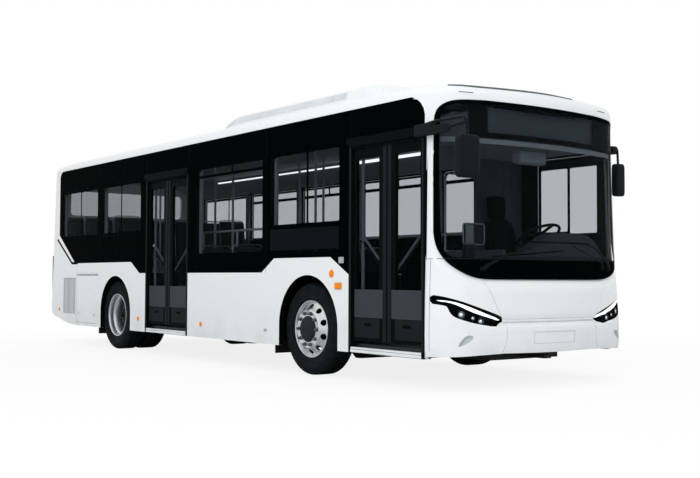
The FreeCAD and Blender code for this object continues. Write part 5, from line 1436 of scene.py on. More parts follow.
# ---- Stage ---------------------------------------------------------------------------------
def pale_floor():
    """Matt white studio floor that keeps the bus's shadow near it and runs out into the
    white of the backdrop further off."""
    material, tree = new_material("studio_floor")
    place = add(tree, "ShaderNodeTexCoord").outputs["Object"]
    seen = add(tree, "ShaderNodeLightPath").outputs["Is Camera Ray"]
    distance = add(tree, "ShaderNodeVectorMath", {0: place}, operation="LENGTH")
    grain = add(tree, "ShaderNodeTexNoise", {"Vector": place, "Scale": 30.0, "Detail": 2.0})
    pale = add(tree, "ShaderNodeMix", {0: grain.outputs[0], 6: linear("#F8F8F8"),
                                       7: linear("#FCFCFC")}, data_type="RGBA")
    # The floor shows lighter than it lights, which keeps its shadow pale
    shade = add(tree, "ShaderNodeMix", {0: seen, 6: linear("#D4D6D8"), 7: pale.outputs[2]},
                data_type="RGBA")
    near = add(tree, "ShaderNodeBsdfDiffuse", {"Color": shade.outputs[2]})
    far = add(tree, "ShaderNodeEmission", {"Color": linear("#FFFFFF"), "Strength": 1.0})
    spread = add(tree, "ShaderNodeMapRange", {
        "Value": distance.outputs["Value"], "From Min": 3.0, "From Max": 9.0, "To Min": 0.84})
    blend = add(tree, "ShaderNodeMath", {0: spread.outputs[0], 1: seen}, operation="MULTIPLY")
    mixed = add(tree, "ShaderNodeMixShader", {0: blend.outputs[0], 1: near.outputs[0],
                                              2: far.outputs[0]})
    add(tree, "ShaderNodeOutputMaterial", {"Surface": mixed.outputs[0]})
    return material


def white_world(light_level):
    """Even white surroundings: full white where they are seen directly, mirrored or through
    glass, and the light level for everything they light."""
    world = bpy.data.worlds.new("studio_white")
    world.use_nodes = True
    tree = world.node_tree
    tree.nodes.clear()
    seen = add(tree, "ShaderNodeLightPath").outputs
    shown = seen["Is Camera Ray"]
    for kind in ("Is Transmission Ray", "Is Glossy Ray"):
        shown = add(tree, "ShaderNodeMath", {0: shown, 1: seen[kind]},
                    operation="MAXIMUM").outputs[0]
    level = add(tree, "ShaderNodeMapRange", {"Value": shown, "To Min": light_level})
    # What shows through tinted panes takes a trace of their blue
    panes = add(tree, "ShaderNodeMapRange", {"Value": seen["Transparent Depth"]})
    tint = add(tree, "ShaderNodeMix", {0: panes.outputs[0], 6: linear("#FFFFFF"),
                                       7: linear("#F0F5FC")}, data_type="RGBA")
    light = add(tree, "ShaderNodeBackground", {"Color": tint.outputs[2],
                                               "Strength": level.outputs[0]})
    add(tree, "ShaderNodeOutputWorld", {"Surface": light.outputs[0]})
    bpy.context.scene.world = world


def soft_lamp(name, place, target, size, watts):
    """Square area lamp that faces its target and shows in no reflection."""
    lamp = bpy.data.lights.new(name, "AREA")
    lamp.shape = "SQUARE"
    lamp.size = size
    lamp.energy = watts
    holder = bpy.data.objects.new(name, lamp)
    bpy.context.scene.collection.objects.link(holder)
    holder.location = place
    holder.rotation_mode = "QUATERNION"
    holder.visible_glossy = False
    holder.rotation_quaternion = (Vector(target) - Vector(place)).to_track_quat("-Z", "Y")


def camera_matrix(place, heading, pitch, roll):
    """World matrix of a camera at place: heading from +Y toward -X, pitch up, roll about its
    line of sight."""
    forward = Vector((-math.sin(heading) * math.cos(pitch), math.cos(heading) * math.cos(pitch),
                      math.sin(pitch)))
    level_right = Vector((math.cos(heading), math.sin(heading), 0.0))
    level_up = level_right.cross(forward)
    right = level_right * math.cos(roll) + level_up * math.sin(roll)
    up = level_up * math.cos(roll) - level_right * math.sin(roll)
    matrix = Matrix((right, up, -forward)).transposed().to_4x4()
    matrix.translation = Vector(place)
    return matrix


# ---- Settings ------------------------------------------------------------------------------
class BusColours(bpy.types.PropertyGroup):
    body_colour: FloatVectorProperty(
        name="Body colour", description="Enamel of the panels and roof", subtype="COLOR",
        size=3, min=0.0, max=1.0, default=linear("#F3F6F8")[:3])
    band_colour: FloatVectorProperty(
        name="Band colour", description="Paint round the windows", subtype="COLOR",
        size=3, min=0.0, max=1.0, default=linear("#030405")[:3])


class BusSizes(bpy.types.PropertyGroup):
    panel_thickness: FloatProperty(
        name="Panel thickness", description="Sheet of the front panels", default=0.006,
        min=0.002, max=0.02, unit="LENGTH", subtype="DISTANCE")
    lid_gap: FloatProperty(
        name="Lid gap", description="Shut line round the front lid", default=0.004,
        min=0.001, max=0.012, unit="LENGTH", subtype="DISTANCE")


class StageSettings(bpy.types.PropertyGroup):
    light_level: FloatProperty(
        name="Light level", description="Strength of the surrounding white", default=0.86,
        min=0.1, max=2.0)
    lens: FloatProperty(
        name="Lens", description="Focal length on a 36 mm wide frame, in millimetres",
        default=53.19, min=10.0, max=300.0)
    camera_place: FloatVectorProperty(
        name="Camera place", description="Where the camera stands", size=3,
        default=(FRONT_AXLE + 8.9126, -7.3333, 1.0032), unit="LENGTH", subtype="TRANSLATION")
    heading: FloatProperty(
        name="Heading", description="Camera's turn from +Y toward -X",
        default=math.radians(53.3072), unit="ROTATION", subtype="ANGLE")
    pitch: FloatProperty(
        name="Pitch", description="Camera's tilt above the horizon",
        default=math.radians(2.1971), unit="ROTATION", subtype="ANGLE")
    roll: FloatProperty(
        name="Roll", description="Camera's turn about its line of sight",
        default=math.radians(0.2222), unit="ROTATION", subtype="ANGLE")


# Every finish by its short name, once the first operator has made them
FINISH = {}


class BUS_OT_finishes(bpy.types.Operator):
    """Makes the finishes and gives one to each frame part that keeps its own shape"""
    bl_idname = "bus.finishes"
    bl_label = "Finishes on the frame's parts"

    def execute(self, context):
        colours = context.scene.bus_colours
        FINISH["white"] = white_coach_enamel(colours.body_colour)
        FINISH["black"] = black_glazing_paint(colours.band_colour)
        for name, (maker, *values) in FINISH_ROWS.items():
            FINISH[name] = maker(*values)
        for name, nodes in NODE_FINISHES:
            for node in nodes:
                slots = NODES[node].material_slots
                if not slots:
                    NODES[node].data.materials.append(FINISH[name])
                for slot in slots:
                    slot.material = FINISH[name]
        return {"FINISHED"}


class BUS_OT_stage(bpy.types.Operator):
    """Floor, white surroundings, soft lamps and the camera"""
    bl_idname = "bus.stage"
    bl_label = "Stage and camera"

    def execute(self, context):
        settings = context.scene.bus_stage
        scene = context.scene
        scene.view_settings.view_transform = "Standard"
        half = 60.0
        points = np.column_stack([rectangle(-half, half, -half, half), np.zeros(4)])
        floor = to_mesh("studio_floor", points, [np.array([[0, 1, 2, 3]])])
        floor.data.materials.append(pale_floor())
        white_world(settings.light_level)
        centre = (CAD_LOW + CAD_HIGH) / 2.0
        soft_lamp("key_lamp", (NOSE + 5.0, -9.0, 6.0), centre, 6.0, 340.0)
        camera = bpy.data.cameras.new("camera")
        camera.lens = settings.lens
        camera.sensor_width = 36.0
        camera.clip_end = 500.0
        holder = bpy.data.objects.new("camera", camera)
        scene.collection.objects.link(holder)
        holder.matrix_world = camera_matrix(settings.camera_place, settings.heading,
                                            settings.pitch, settings.roll)
        scene.camera = holder
        return {"FINISHED"}


FRONT_STEP = 0.022      # spacing of the points of the front panels
FRONT_FOLD = 11.0       # degrees from which a fold of the front panels shows as an edge


def set_in(distance):
    """The front's surface moved straight back."""
    return lambda s, z: front_shape(s, z) - np.array([distance, 0.0, 0.0])


class BUS_OT_front_panels(bpy.types.Operator):
    """Front panels round the windscreen, with the bumper's crease, and the front lid"""
    bl_idname = "bus.front_panels"
    bl_label = "Front panels and lid"

    def execute(self, context):
        sizes = context.scene.bus_sizes
        sheet = sizes.panel_thickness
        lid_loop = in_arc(both_sides(LID_OUTLINE))
        lamps = [in_arc(smoothed(LAMP_OUTLINE, 1), side) for side in (1.0, -1.0)]
        scoops = [scoop_shape(side) for side in (1.0, -1.0)]
        holes = [SCREEN_LOOP, lid_loop, PLATE_LOOP, *lamps, *[loop for loop, _ in scoops]]
        panels = trimmed(front_shape, front_outline(), holes, FRONT_STEP, sheet, rows=CREASE_ROWS)
        plate = trimmed(set_in(0.004), PLATE_LOOP, (), 0.03, 0.004)
        pockets = [trimmed(shape, loop, (), 0.012, 0.003) for loop, shape in scoops]
        # The scoop pockets take a greyer white: painted shade in the recesses
        put("front_scoops", pockets, "scoop", closed=False)
        put("front_panels", [panels, plate], "white",
            replaces=("front_fascia",), sharp=FRONT_FOLD, closed=False)
        lid = trimmed(front_shape, drawn_in(lid_loop, (0.0, 0.82), sizes.lid_gap), (),
                      FRONT_STEP, sheet, rows=CREASE_ROWS)
        put("front_lid_panel", [lid], "white", "front_lid", ("front_lid",),
            FRONT_FOLD, False)
        backing = trimmed(set_in(0.020), rectangle(-0.88, 0.88, 0.630, 0.996), (), 0.05, 0.004)
        put("front_backing", [backing], "dark_plastic", closed=False)
        return {"FINISHED"}


class BUS_OT_front_seams(bpy.types.Operator):
    """Fine shut lines of the front panels, and a grey strip of painted shade along the lid's foot
    """
    bl_idname = "bus.front_seams"
    bl_label = "Front shut lines"

    def execute(self, context):
        grey_width, pale_width, shoulder_z = 0.004, 0.0035, 1.184
        plate = spaced(PLATE_LOOP, 0.02)
        lines, pale = [], [ribbon(front_shape, np.concatenate([plate, plate[:1]]), 0.003)]
        shoulder_s = float(seam_arc(shoulder_z, FRONT_AXLE + 1.90))
        heights = np.linspace(0.36, 1.178, 40)
        upright_s = np.array([seam_arc(z, FRONT_AXLE + 1.940) for z in heights])
        for side in (1.0, -1.0):
            low_seam = in_arc([(0.612, 0.612), (0.600, 0.535), (0.612, 0.440), (0.648, 0.337)],
                              side)
            low_seam = spaced(smoothed(low_seam, 2, False), 0.02, False)
            pale.append(ribbon(front_shape, low_seam, pale_width))
            across = level_line(side * shoulder_s, side * 1.312, shoulder_z, 14)
            lines.append(ribbon(front_shape, across, grey_width))
            upright = np.stack([side * upright_s, heights], 1)
            lines.append(ribbon(front_shape, upright, pale_width))
        foot_s = arc_along(0.615)
        # A grey strip along the lid's foot: painted shade of the lid's overhang above the bumper's
        # crease
        foot = ribbon(front_shape, level_line(-foot_s, foot_s, 0.6190, 80), 0.044)
        for name, shapes, material, slot in (
                ("front_shut_lines", lines, "joint", "dark_plastic"),
                ("front_panel_seams", pale, "pale_joint", "white_paint"),
                ("lid_foot_edge", [foot], "lid_edge", "white_paint")):
            put(name, shapes, material, closed=False)
        return {"FINISHED"}


class BUS_OT_windscreen(bpy.types.Operator):
    """Curved windscreen with its black ceramic border"""
    bl_idname = "bus.windscreen"
    bl_label = "Windscreen"

    def execute(self, context):
        pane = 0.006    # thickness of the glass, in metres
        glass_loop = drawn_in(SCREEN_LOOP, (0.0, 1.8), 0.004)
        clear = smoothed(both_sides(CLEAR_HALF_OUTLINE), 2)
        sign = in_arc(rectangle(-0.722, 0.735, 2.342, 2.585))
        mask = in_arc(rectangle(-0.930, 1.195, 2.292, 2.612))
        cover = in_arc(rectangle(1.120, 1.222, 1.210, 2.250))
        foot = ribbon(screen_shape, level_line(-1.27, 1.27, 1.186, 90), 0.004)
        rows = [
            # piece, shape, finish, slot, nodes stood for
            ("windscreen_glass", trimmed(screen_shape, clear, (), 0.05, pane),
             "screen_glass", "clear_glass", ("windscreen",)),
            ("windscreen_border", trimmed(screen_shape, glass_loop, (clear,), 0.03, pane),
             "black", "black_band", ()),
            ("sign_mask", trimmed(sunk(screen_shape, 0.022), mask, (sign,), 0.04, 0.003),
             "soft_black", "dark_plastic", ()),
            ("left_pillar_cover", trimmed(sunk(screen_shape, 0.055), cover, (), 0.03, 0.004),
             "header", "grey_plastic", ()),
            ("windscreen_foot_line", foot, "dark_joint", "dark_plastic", ()),
        ]
        for name, shape, material, slot, nodes in rows:
            put(name, [shape], material, replaces=nodes, closed=False)
        return {"FINISHED"}

class BUS_OT_roof(bpy.types.Operator):
    """Roof skin with its rounded edge, the dark lip over the cab and the small marker slots"""
    bl_idname = "bus.roof"
    bl_label = "Roof"

    def execute(self, context):
        outer, rings, crown, count = roof_skin()
        inner = roof_skin(0.020)[0]
        total = len(outer)
        i = np.arange(count)
        rim = np.stack([(i + 1) % count, i, i + total, (i + 1) % count + total], 1)
        faces = [rings[:, ::-1], crown, rings + total, crown[:, ::-1] + total, rim[:, ::-1]]
        roof = put("roof_skin", [(np.concatenate([outer, inner]), faces)], "white",
                   replaces=("roof_shell",), sharp=40.0, closed=False)
        if roof.data.polygons[len(rings) + 5].normal.z < 0.0:
            raise RuntimeError("the roof's faces point inward")
        lip = level_line(-arc_along(1.115), arc_along(0.42), 0.050, 60)
        first, last = lip[0, 0], lip[-1, 0]
        width = np.interp(lip[:, 0], [first, first + 0.3, last - 0.5, last],
                          [0.010, 0.024, 0.020, 0.004])
        marks = [ribbon(edge_point, lip, width, 0.007, 0.010)]
        for side, start, end in ((-1.0, 0.885, 1.030), (1.0, 0.800, 0.945)):
            slot = level_line(side * arc_along(start), side * arc_along(end), 0.0035, 12)
            marks.append(ribbon(edge_point, slot, 0.007, 0.0015, 0.003))
        put("roof_lip_and_slots", marks, "joint", closed=False)
        return {"FINISHED"}


class BUS_OT_roof_pod(bpy.types.Operator):
    """Long rounded pod on the roof with its panel joints, and flank sheets of greyer white that
    paint the shade on its sides
    """
    bl_idname = "bus.roof_pod"
    bl_label = "Roof pod"

    def execute(self, context):
        points, rows, columns = pod_shape()
        ends = np.array([points[:columns].mean(0), points[-columns:].mean(0)])
        ends[:, 2] = points[0, 2]
        total = rows * columns
        last = (rows - 1) * columns
        j = np.arange(columns)
        k = (j + 1) % columns
        first_cap = np.stack([np.full(columns, total), k, j], 1)
        last_cap = np.stack([np.full(columns, total + 1), last + j, last + k], 1)
        i = np.arange(rows - 1) * columns
        under = np.stack([i, i + columns, i + 2 * columns - 1, i + columns - 1], 1)
        shell = (np.concatenate([points, ends]),
                 [grid_faces(rows, columns)[:, ::-1], first_cap, last_cap, under])
        put("roof_pod_cover", [shell], "white", replaces=("roof_pod",), sharp=50.0)
        # Flank panels: where they start and end, their foot and head, and how far their faces
        # and joints stand from the middle of the pod's ring, as shares of the pod's own face
        start, end, foot, head = -2.36, 0.27, 2.872, 2.972
        inner_face, outer_face, joint_face, joint_radius = 0.9960, 1.0030, 1.0040, 0.0022
        grid = points.reshape(rows, columns, 3)
        place = grid[:, 0, 0] - FRONT_AXLE
        run = np.flatnonzero((place > start) & (place < end))
        heights = grid[run[len(run) // 2], :, 2]
        joints, flanks = [], []
        for side in (-1.0, 1.0):
            keep = np.flatnonzero((heights > foot) & (heights < head)
                                  & (side * grid[0, :, 1] > 0.0))
            patch = grid[np.ix_(run, keep)]
            centre = grid[run].mean(1)[:, None]
            sheet = np.concatenate([centre + (patch - centre) * outer_face,
                                    (centre + (patch - centre) * inner_face)[:, ::-1]], 1)
            count = 2 * len(keep)
            cap = np.arange(count)[None]
            flanks.append((sheet.reshape(-1, 3), [
                grid_faces(len(run), count, False, True), cap[:, ::-1],
                cap + count * (len(run) - 1)]))
            for x in (-0.005, 0.200):
                row = int(np.argmin(np.abs(place - x)))
                middle_of_ring = grid[row].mean(0)
                line = middle_of_ring + (grid[row, keep] - middle_of_ring) * joint_face
                line[:, 0] = FRONT_AXLE + x
                joints.append(tube(line, joint_radius, 6))
        # The flanks' greyer white is painted shade on the pod's upright sides
        put("roof_pod_flanks", flanks, "pod_flank")
        put("roof_pod_joints", joints, "pale_joint", closed=False)
        return {"FINISHED"}

class BUS_OT_wheels(bpy.types.Operator):
    """Tyres with their tread, and rims with hand holes, nuts and hub caps"""
    bl_idname = "bus.wheels"
    bl_label = "Wheels"

    def execute(self, context):
        inner_barrel = [(r, -out) for r, out in REAR_BARREL[::-1]]
        for side, name in ((-1.0, "right"), (1.0, "left")):
            y, twin_y = side * TRACK_Y, side * (TRACK_Y - TWIN_PITCH)
            front_hub, rear_hub, twin_hub = ((FRONT_AXLE, y, WHEEL_Z), (REAR_AXLE, y, WHEEL_Z),
                                             (REAR_AXLE, twin_y, WHEEL_Z))
            ways = (0, side, 0), (1, 0, 0)
            front, rear = name + "_front_wheel", name + "_rear_wheels"
            rows = [
                # piece, shapes, finish, slot, body, nodes stood for
                ("front_tyre_cover", [tyre_at(FRONT_AXLE, y, side)],
                 "tyre", "tyre_rubber", front, ["front_tyre"]),
                ("rear_tyre_covers", [tyre_at(REAR_AXLE, y, side),
                                      tyre_at(REAR_AXLE, twin_y, side)],
                 "tyre", "tyre_rubber", rear, ["rear_tyres"]),
                ("front_rim_polished", [
                    lathed(FRONT_BARREL, front_hub, *ways),
                    wheel_disc(FRONT_AXLE, y, side, FRONT_DISC, 0.2350, 0.0300)],
                 "rim", "rim_aluminium", front, ["front_rim"]),
                ("rear_rims_polished", [lathed(REAR_BARREL, rear_hub, *ways),
                                        lathed(inner_barrel, twin_hub, *ways)],
                 "rim", "rim_aluminium", rear, ["rear_rims"]),
                ("rear_disc_and_hub", [wheel_disc(REAR_AXLE, y, side, REAR_DISC, 0.2220, 0.0230),
                                       turned(REAR_HUB, rear_hub, *ways)],
                 "hub", "axle_metal", rear, []),
                ("front_hub_cap", [turned(FRONT_HUB, front_hub, *ways)],
                 "hub", "axle_metal", front, []),
                ("front_nuts", [wheel_nuts(FRONT_AXLE, y, side, 0.156)],
                 "nut", "axle_metal", front, []),
                ("rear_nuts", [wheel_nuts(REAR_AXLE, y, side, -0.060)],
                 "nut", "axle_metal", rear, []),
            ]
            for piece, shapes, material, slot, body, nodes in rows:
                put(name + "_" + piece, shapes, material, body,
                    [name + "_" + node for node in nodes])
        return {"FINISHED"}

class BUS_OT_headlights(bpy.types.Operator):
    """Headlight units: black bowl housing, light bar, lamps and clear cover"""
    bl_idname = "bus.headlights"
    bl_label = "Headlights"

    def execute(self, context):
        housing, bars, bowls, bulbs, covers = [], [], [], [], []
        # Each stands this far below the panels' surface
        rim_top, rim_foot, floor_depth, cover_depth, bar_depth = 0.001, 0.034, 0.030, 0.003, 0.010
        for side in (1.0, -1.0):
            loop = shrunk(in_arc(smoothed(LAMP_OUTLINE, 1), side), 0.0015)
            housing.append(collar(front_shape, loop, (rim_top, rim_foot), 0.004))
            bar = shrunk(in_arc(smoothed(LED_BAR, 1), side), 0.0035)
            for group, depth, outline, sheet in (
                    (housing, floor_depth, shrunk(loop, 0.002), 0.004),
                    (covers, cover_depth, shrunk(loop, 0.004), 0.003),
                    (bars, bar_depth, bar, 0.012)):
                group.append(trimmed(sunk(front_shape, depth), outline, (), 0.03, sheet))
            for y, z, radius in LAMP_BOWLS:
                s = arc_along(np.array([side * y]))
                nx, ny = plan_normal(s)
                out, across = np.array([nx[0], ny[0], 0.0]), np.array([-ny[0], nx[0], 0.0])
                centre = front_shape(s, np.array([z]))[0] - 0.0245 * out
                bowl, bulb = (np.array(profile) * (radius, 1.0)
                              for profile in (BOWL_PROFILE, BULB_PROFILE))
                bowls.append(lathed(bowl, centre, out, across, 36))
                bulbs.append(turned(bulb, centre, out, across, 28))
        rows = [
            # piece, shapes, finish, slot, nodes stood for
            ("headlight_housings", housing, "gloss_black", "dark_plastic", ("headlights",)),
            ("headlight_light_bars", bars, "led_tube", "lamp_cover", ()),
            ("headlight_bowls", bowls, "chrome", "rim_aluminium", ()),
            ("headlight_lenses", bulbs, "lamp_lens", "lamp_cover", ()),
            ("headlight_covers", covers, "lamp_cover", "lamp_cover", ()),
        ]
        for name, shapes, material, slot, nodes in rows:
            put(name, shapes, material, replaces=nodes)
        return {"FINISHED"}


class BUS_OT_mirrors(bpy.types.Operator):
    """Outside mirrors: moulded shells, mirror glasses and tube arms"""
    bl_idname = "bus.mirrors"
    bl_label = "Mirrors"

    def execute(self, context):
        # Places of the right head, the right arm's root and the left head
        right_x, right_y, right_z = high("mirrors")[0] - 0.052, -HALF - 0.030, 2.0475
        root_x, root_y = FRONT_AXLE + 1.80, -HALF - 0.018
        left_x, left_y, left_z = NOSE - 0.360, HALF + 0.074, 2.042
        heads = [rounded_block((right_x, right_y, right_z), (0.051, 0.1095, 0.1825), 0.24),
                 rounded_block((left_x, left_y, left_z), (0.041, 0.0645, 0.170), 0.26)]
        put("mirror_heads", heads, "mirror_shell", replaces=("mirrors",))
        upper = rounded_path([
            (root_x + 0.02, root_y, 2.372), (root_x + 0.26, right_y + 0.003, 2.397),
            (right_x, right_y, 2.395), (right_x, right_y, 2.190)], 0.075)
        lower = rounded_path([
            (root_x + 0.02, root_y, 2.296), (right_x - 0.10, right_y, 2.338),
            (right_x, right_y, 2.345)], 0.03)
        left = rounded_path([
            (left_x - 0.06, HALF - 0.004, 2.375), (left_x - 0.01, left_y, 2.378),
            (left_x, left_y, 2.190)], 0.035)
        arms = [tube(upper, 0.0135, 14), tube(lower, 0.0125, 14), tube(left, 0.0125, 14)]
        arms += [rounded_block(*block) for block in (
            # centre, half sizes, roundness
            ((root_x + 0.125, right_y + 0.008, 2.336), (0.130, 0.019, 0.056), 0.22),
            ((root_x + 0.330, right_y + 0.004, 2.322), (0.130, 0.013, 0.040), 0.3),
            ((left_x - 0.050, HALF + 0.030, 2.355), (0.052, 0.042, 0.042), 0.3))]
        put("mirror_arms", arms, "mirror_shell")
        glasses = []
        for x, y, z, half_y, half_z in ((right_x - 0.0515, right_y, right_z, 0.090, 0.160),
                                        (left_x - 0.0415, left_y, left_z, 0.050, 0.148)):
            def face(u, v, x=x, y=y, z=z):
                return np.stack([0 * u + x, y - u, z + v], -1)
            loop = rounded_loop(rectangle(-half_y, half_y, -half_z, half_z), 0.03)
            glasses.append(trimmed(face, loop, (), 0.05, 0.003))
        put("mirror_glasses", glasses, "mirror_glass")
        return {"FINISHED"}


class BUS_OT_wipers(bpy.types.Operator):
    """Two pantograph wipers, parked low on the windscreen"""
    bl_idname = "bus.wipers"
    bl_label = "Wipers"

    def execute(self, context):
        arms, blades = [], []
        for start, end, offs, radii in WIPER_RODS:
            t = np.linspace(0.0, 1.0, 9)
            y, z = (np.interp(t, [0, 1], [start[i], end[i]]) for i in (0, 1))
            path = screen_out(y, z, np.interp(t, [0, 1], offs)[:, None])
            arms.append(tube(path, np.interp(t, [0, 1], radii), 10))
        for y, z, size in ((-0.842, 1.096, 0.024), (0.876, 1.114, 0.023), (0.762, 1.117, 0.018)):
            knob = [(0.0, -0.004), (size, -0.004), (size, 0.030), (size * 0.8, 0.042),
                    (size * 0.4, 0.046), (0.0, 0.046)]
            arms.append(turned(knob, screen_out(y, z, 0.0)[0], (1, 0, 0), (0, 1, 0), 20))
        for start, end in (((-0.740, 1.205), (0.130, 1.272)), ((0.545, 1.348), (-0.318, 1.349))):
            t = np.linspace(0.0, 1.0, 24)
            y, z = (np.interp(t, [0, 1], [start[i], end[i]]) for i in (0, 1))
            ridge = 0.018 + 0.010 * np.sin(math.pi * t)[:, None]
            blades += [tube(screen_out(y, z, ridge), 0.0065, 8),
                       tube(screen_out(y, z, 0.0 * ridge + 0.008), 0.0035, 6)]
        put("wiper_arms", arms, "dark_plastic", replaces=("wipers",))
        put("wiper_blades", blades, "soft_black")
        return {"FINISHED"}

class BUS_OT_window_borders(bpy.types.Operator):
    """Black printed borders, sliding-pane bars and opening fanlights of the side windows"""
    bl_idname = "bus.window_borders"
    bl_label = "Window borders"

    def execute(self, context):
        for side, name, panes in ((-1.0, "right", RIGHT_PANES), (1.0, "left", LEFT_PANES)):
            put(name + "_window_borders", [pane_border(side, pane) for pane in panes],
                "black", closed=False)
        panel = rounded_loop(rectangle(FRONT_AXLE - 0.672, FRONT_AXLE + 0.596, 1.304, 1.530), 0.012)
        put("right_printed_panel", [trimmed(side_sheet(-1.0, 0.0022), panel, (), 0.1, 0.002)],
            "printed_glass", closed=False)
        return {"FINISHED"}


class BUS_OT_side_trim(bpy.types.Operator):
    """Arch linings, shut lines, the stripe behind the band, and the band's rounded corners"""
    bl_idname = "bus.side_trim"
    bl_label = "Side trim"

    def execute(self, context):
        linings, lines, dark_lines, stripes, corners = [], [], [], [], []
        stand_off, sheet = 0.0024, 0.0030       # of the band's corner pieces
        strip = rectangle(FRONT_AXLE + 1.8956, FRONT_AXLE + 1.9068, SILL + 0.012, 2.283)
        for side in (-1.0, 1.0):
            linings += [arch_lining(FRONT_ARCH, side), arch_lining(REAR_ARCH, side)]
            dark_lines += [side_line(side, [(x, z0), (x, z1)], 0.004) for x, z0, z1 in BAND_JOINTS]
            lines.append(side_line(side, [(-6.150, 0.330), (-6.150, 1.210)], 0.003))
            lines.append(side_line(side, [(1.0, SILL + 0.004), (1.0, 1.040)], 0.003) if side > 0
                         else side_line(side, [(-6.150, 1.070), (-5.340, 1.070)], 0.005))
            stripes.append(side_line(side, [(-6.950, 1.604), (-6.345, 1.2235), (-6.120, 1.2235)],
                                     0.036, 0.0012))
            face = side_sheet(side, stand_off)
            for corner in (FRONT_BAND_CORNER, REAR_BAND_CORNER):
                loop = np.array(corner) + np.array([FRONT_AXLE, 0.0])
                corners.append(trimmed(face, loop, (), 0.015, sheet))
            corners.append(trimmed(face, strip, (), 0.02, sheet, 0.2))
        for name, shapes, material, slot in (
                ("arch_linings", linings, "soft_black", "dark_plastic"),
                ("side_shut_lines", lines, "pale_joint", "white_paint"),
                ("band_shut_lines", dark_lines, "band_joint", "black_band"),
                ("band_stripes", stripes, "black", "black_band"),
                ("band_corners", corners, "white", "white_paint")):
            put(name, shapes, material)
        return {"FINISHED"}


class BUS_OT_side_lamps(bpy.types.Operator):
    """Amber markers and repeaters, the small plates, and the flap's latches"""
    bl_idname = "bus.side_lamps"
    bl_label = "Side lamps and latches"

    def execute(self, context):
        amber, latches, plates = [], [], []
        for side in (-1.0, 1.0):
            face, axis = side * HALF, (0, side, 0)
            for x, z, radius in SIDE_MARKERS:
                amber.append(lens_disc(FRONT_AXLE + x, face, z, radius, axis, 0.012))
            amber.append(lens_disc(FRONT_AXLE + 0.475, face + side * 0.010, 1.054, 0.021, axis,
                                   0.010))
            for group, x0, x1, z0, z1, sunk_in, out, edge in (
                    (amber, 0.535, 0.650, 0.900, 0.962, 0.002, 0.014, 0.006),
                    (plates, -0.800, -0.740, 0.422, 0.452, 0.001, 0.003, 0.002),
                    (plates, 0.594, 0.680, 1.156, 1.218, 0.001, 0.003, 0.002)):
                group.append(slab((FRONT_AXLE + x0, face - side * sunk_in, z0),
                                  (FRONT_AXLE + x1, face + side * out, z1), edge))
        for x, z in ((-6.060, 0.475), (-5.480, 0.460)):
            latches.append(turned([(0.0, -0.002), (0.017, -0.002), (0.017, 0.002), (0.012, 0.004),
                                   (0.006, 0.004), (0.0, 0.002)], (FRONT_AXLE + x, -HALF, z),
                                  (0, -1, 0), (1, 0, 0), 20))
        put("amber_lamps", amber, "amber_lens")
        put("side_plates", plates, "grey_plastic")
        put("flap_latches", latches, "steel", "service_flap")
        return {"FINISHED"}


class BUS_OT_side_grille(bpy.types.Operator):
    """Fine woven grille of the radiator, in its frame"""
    bl_idname = "bus.side_grille"
    bl_label = "Side grille"

    def execute(self, context):
        (x0, _, z0), (x1, _, z1) = low("side_grille"), high("side_grille")
        y, pitch, half_wire, frame_bar = -HALF + 0.004, 0.0125, 0.0044, 0.012
        opening = rectangle(x0 + frame_bar, x1 - frame_bar, z0 + frame_bar, z1 - frame_bar)
        shapes = [trimmed(side_sheet(-1.0, -0.0015), rectangle(x0, x1, z0, z1), (opening,),
                          0.1, 0.010)]
        for x in np.arange(x0 + 0.016, x1 - frame_bar, pitch):
            shapes.append(slab((x - half_wire, y, z0 + 0.010),
                               (x + half_wire, y + 0.003, z1 - 0.010), 0.001))
        for z in np.arange(z0 + 0.016, z1 - frame_bar, pitch):
            shapes.append(slab((x0 + 0.010, y + 0.002, z - half_wire),
                               (x1 - 0.010, y + 0.005, z + half_wire), 0.001))
        put("side_grille_mesh", shapes, "grille", replaces=("side_grille",))
        back = slab((x0 + 0.002, -HALF + 0.018, z0 + 0.002),
                    (x1 - 0.002, -HALF + 0.024, z1 - 0.002), 0.002)
        put("side_grille_back", [back], "soft_black")
        return {"FINISHED"}


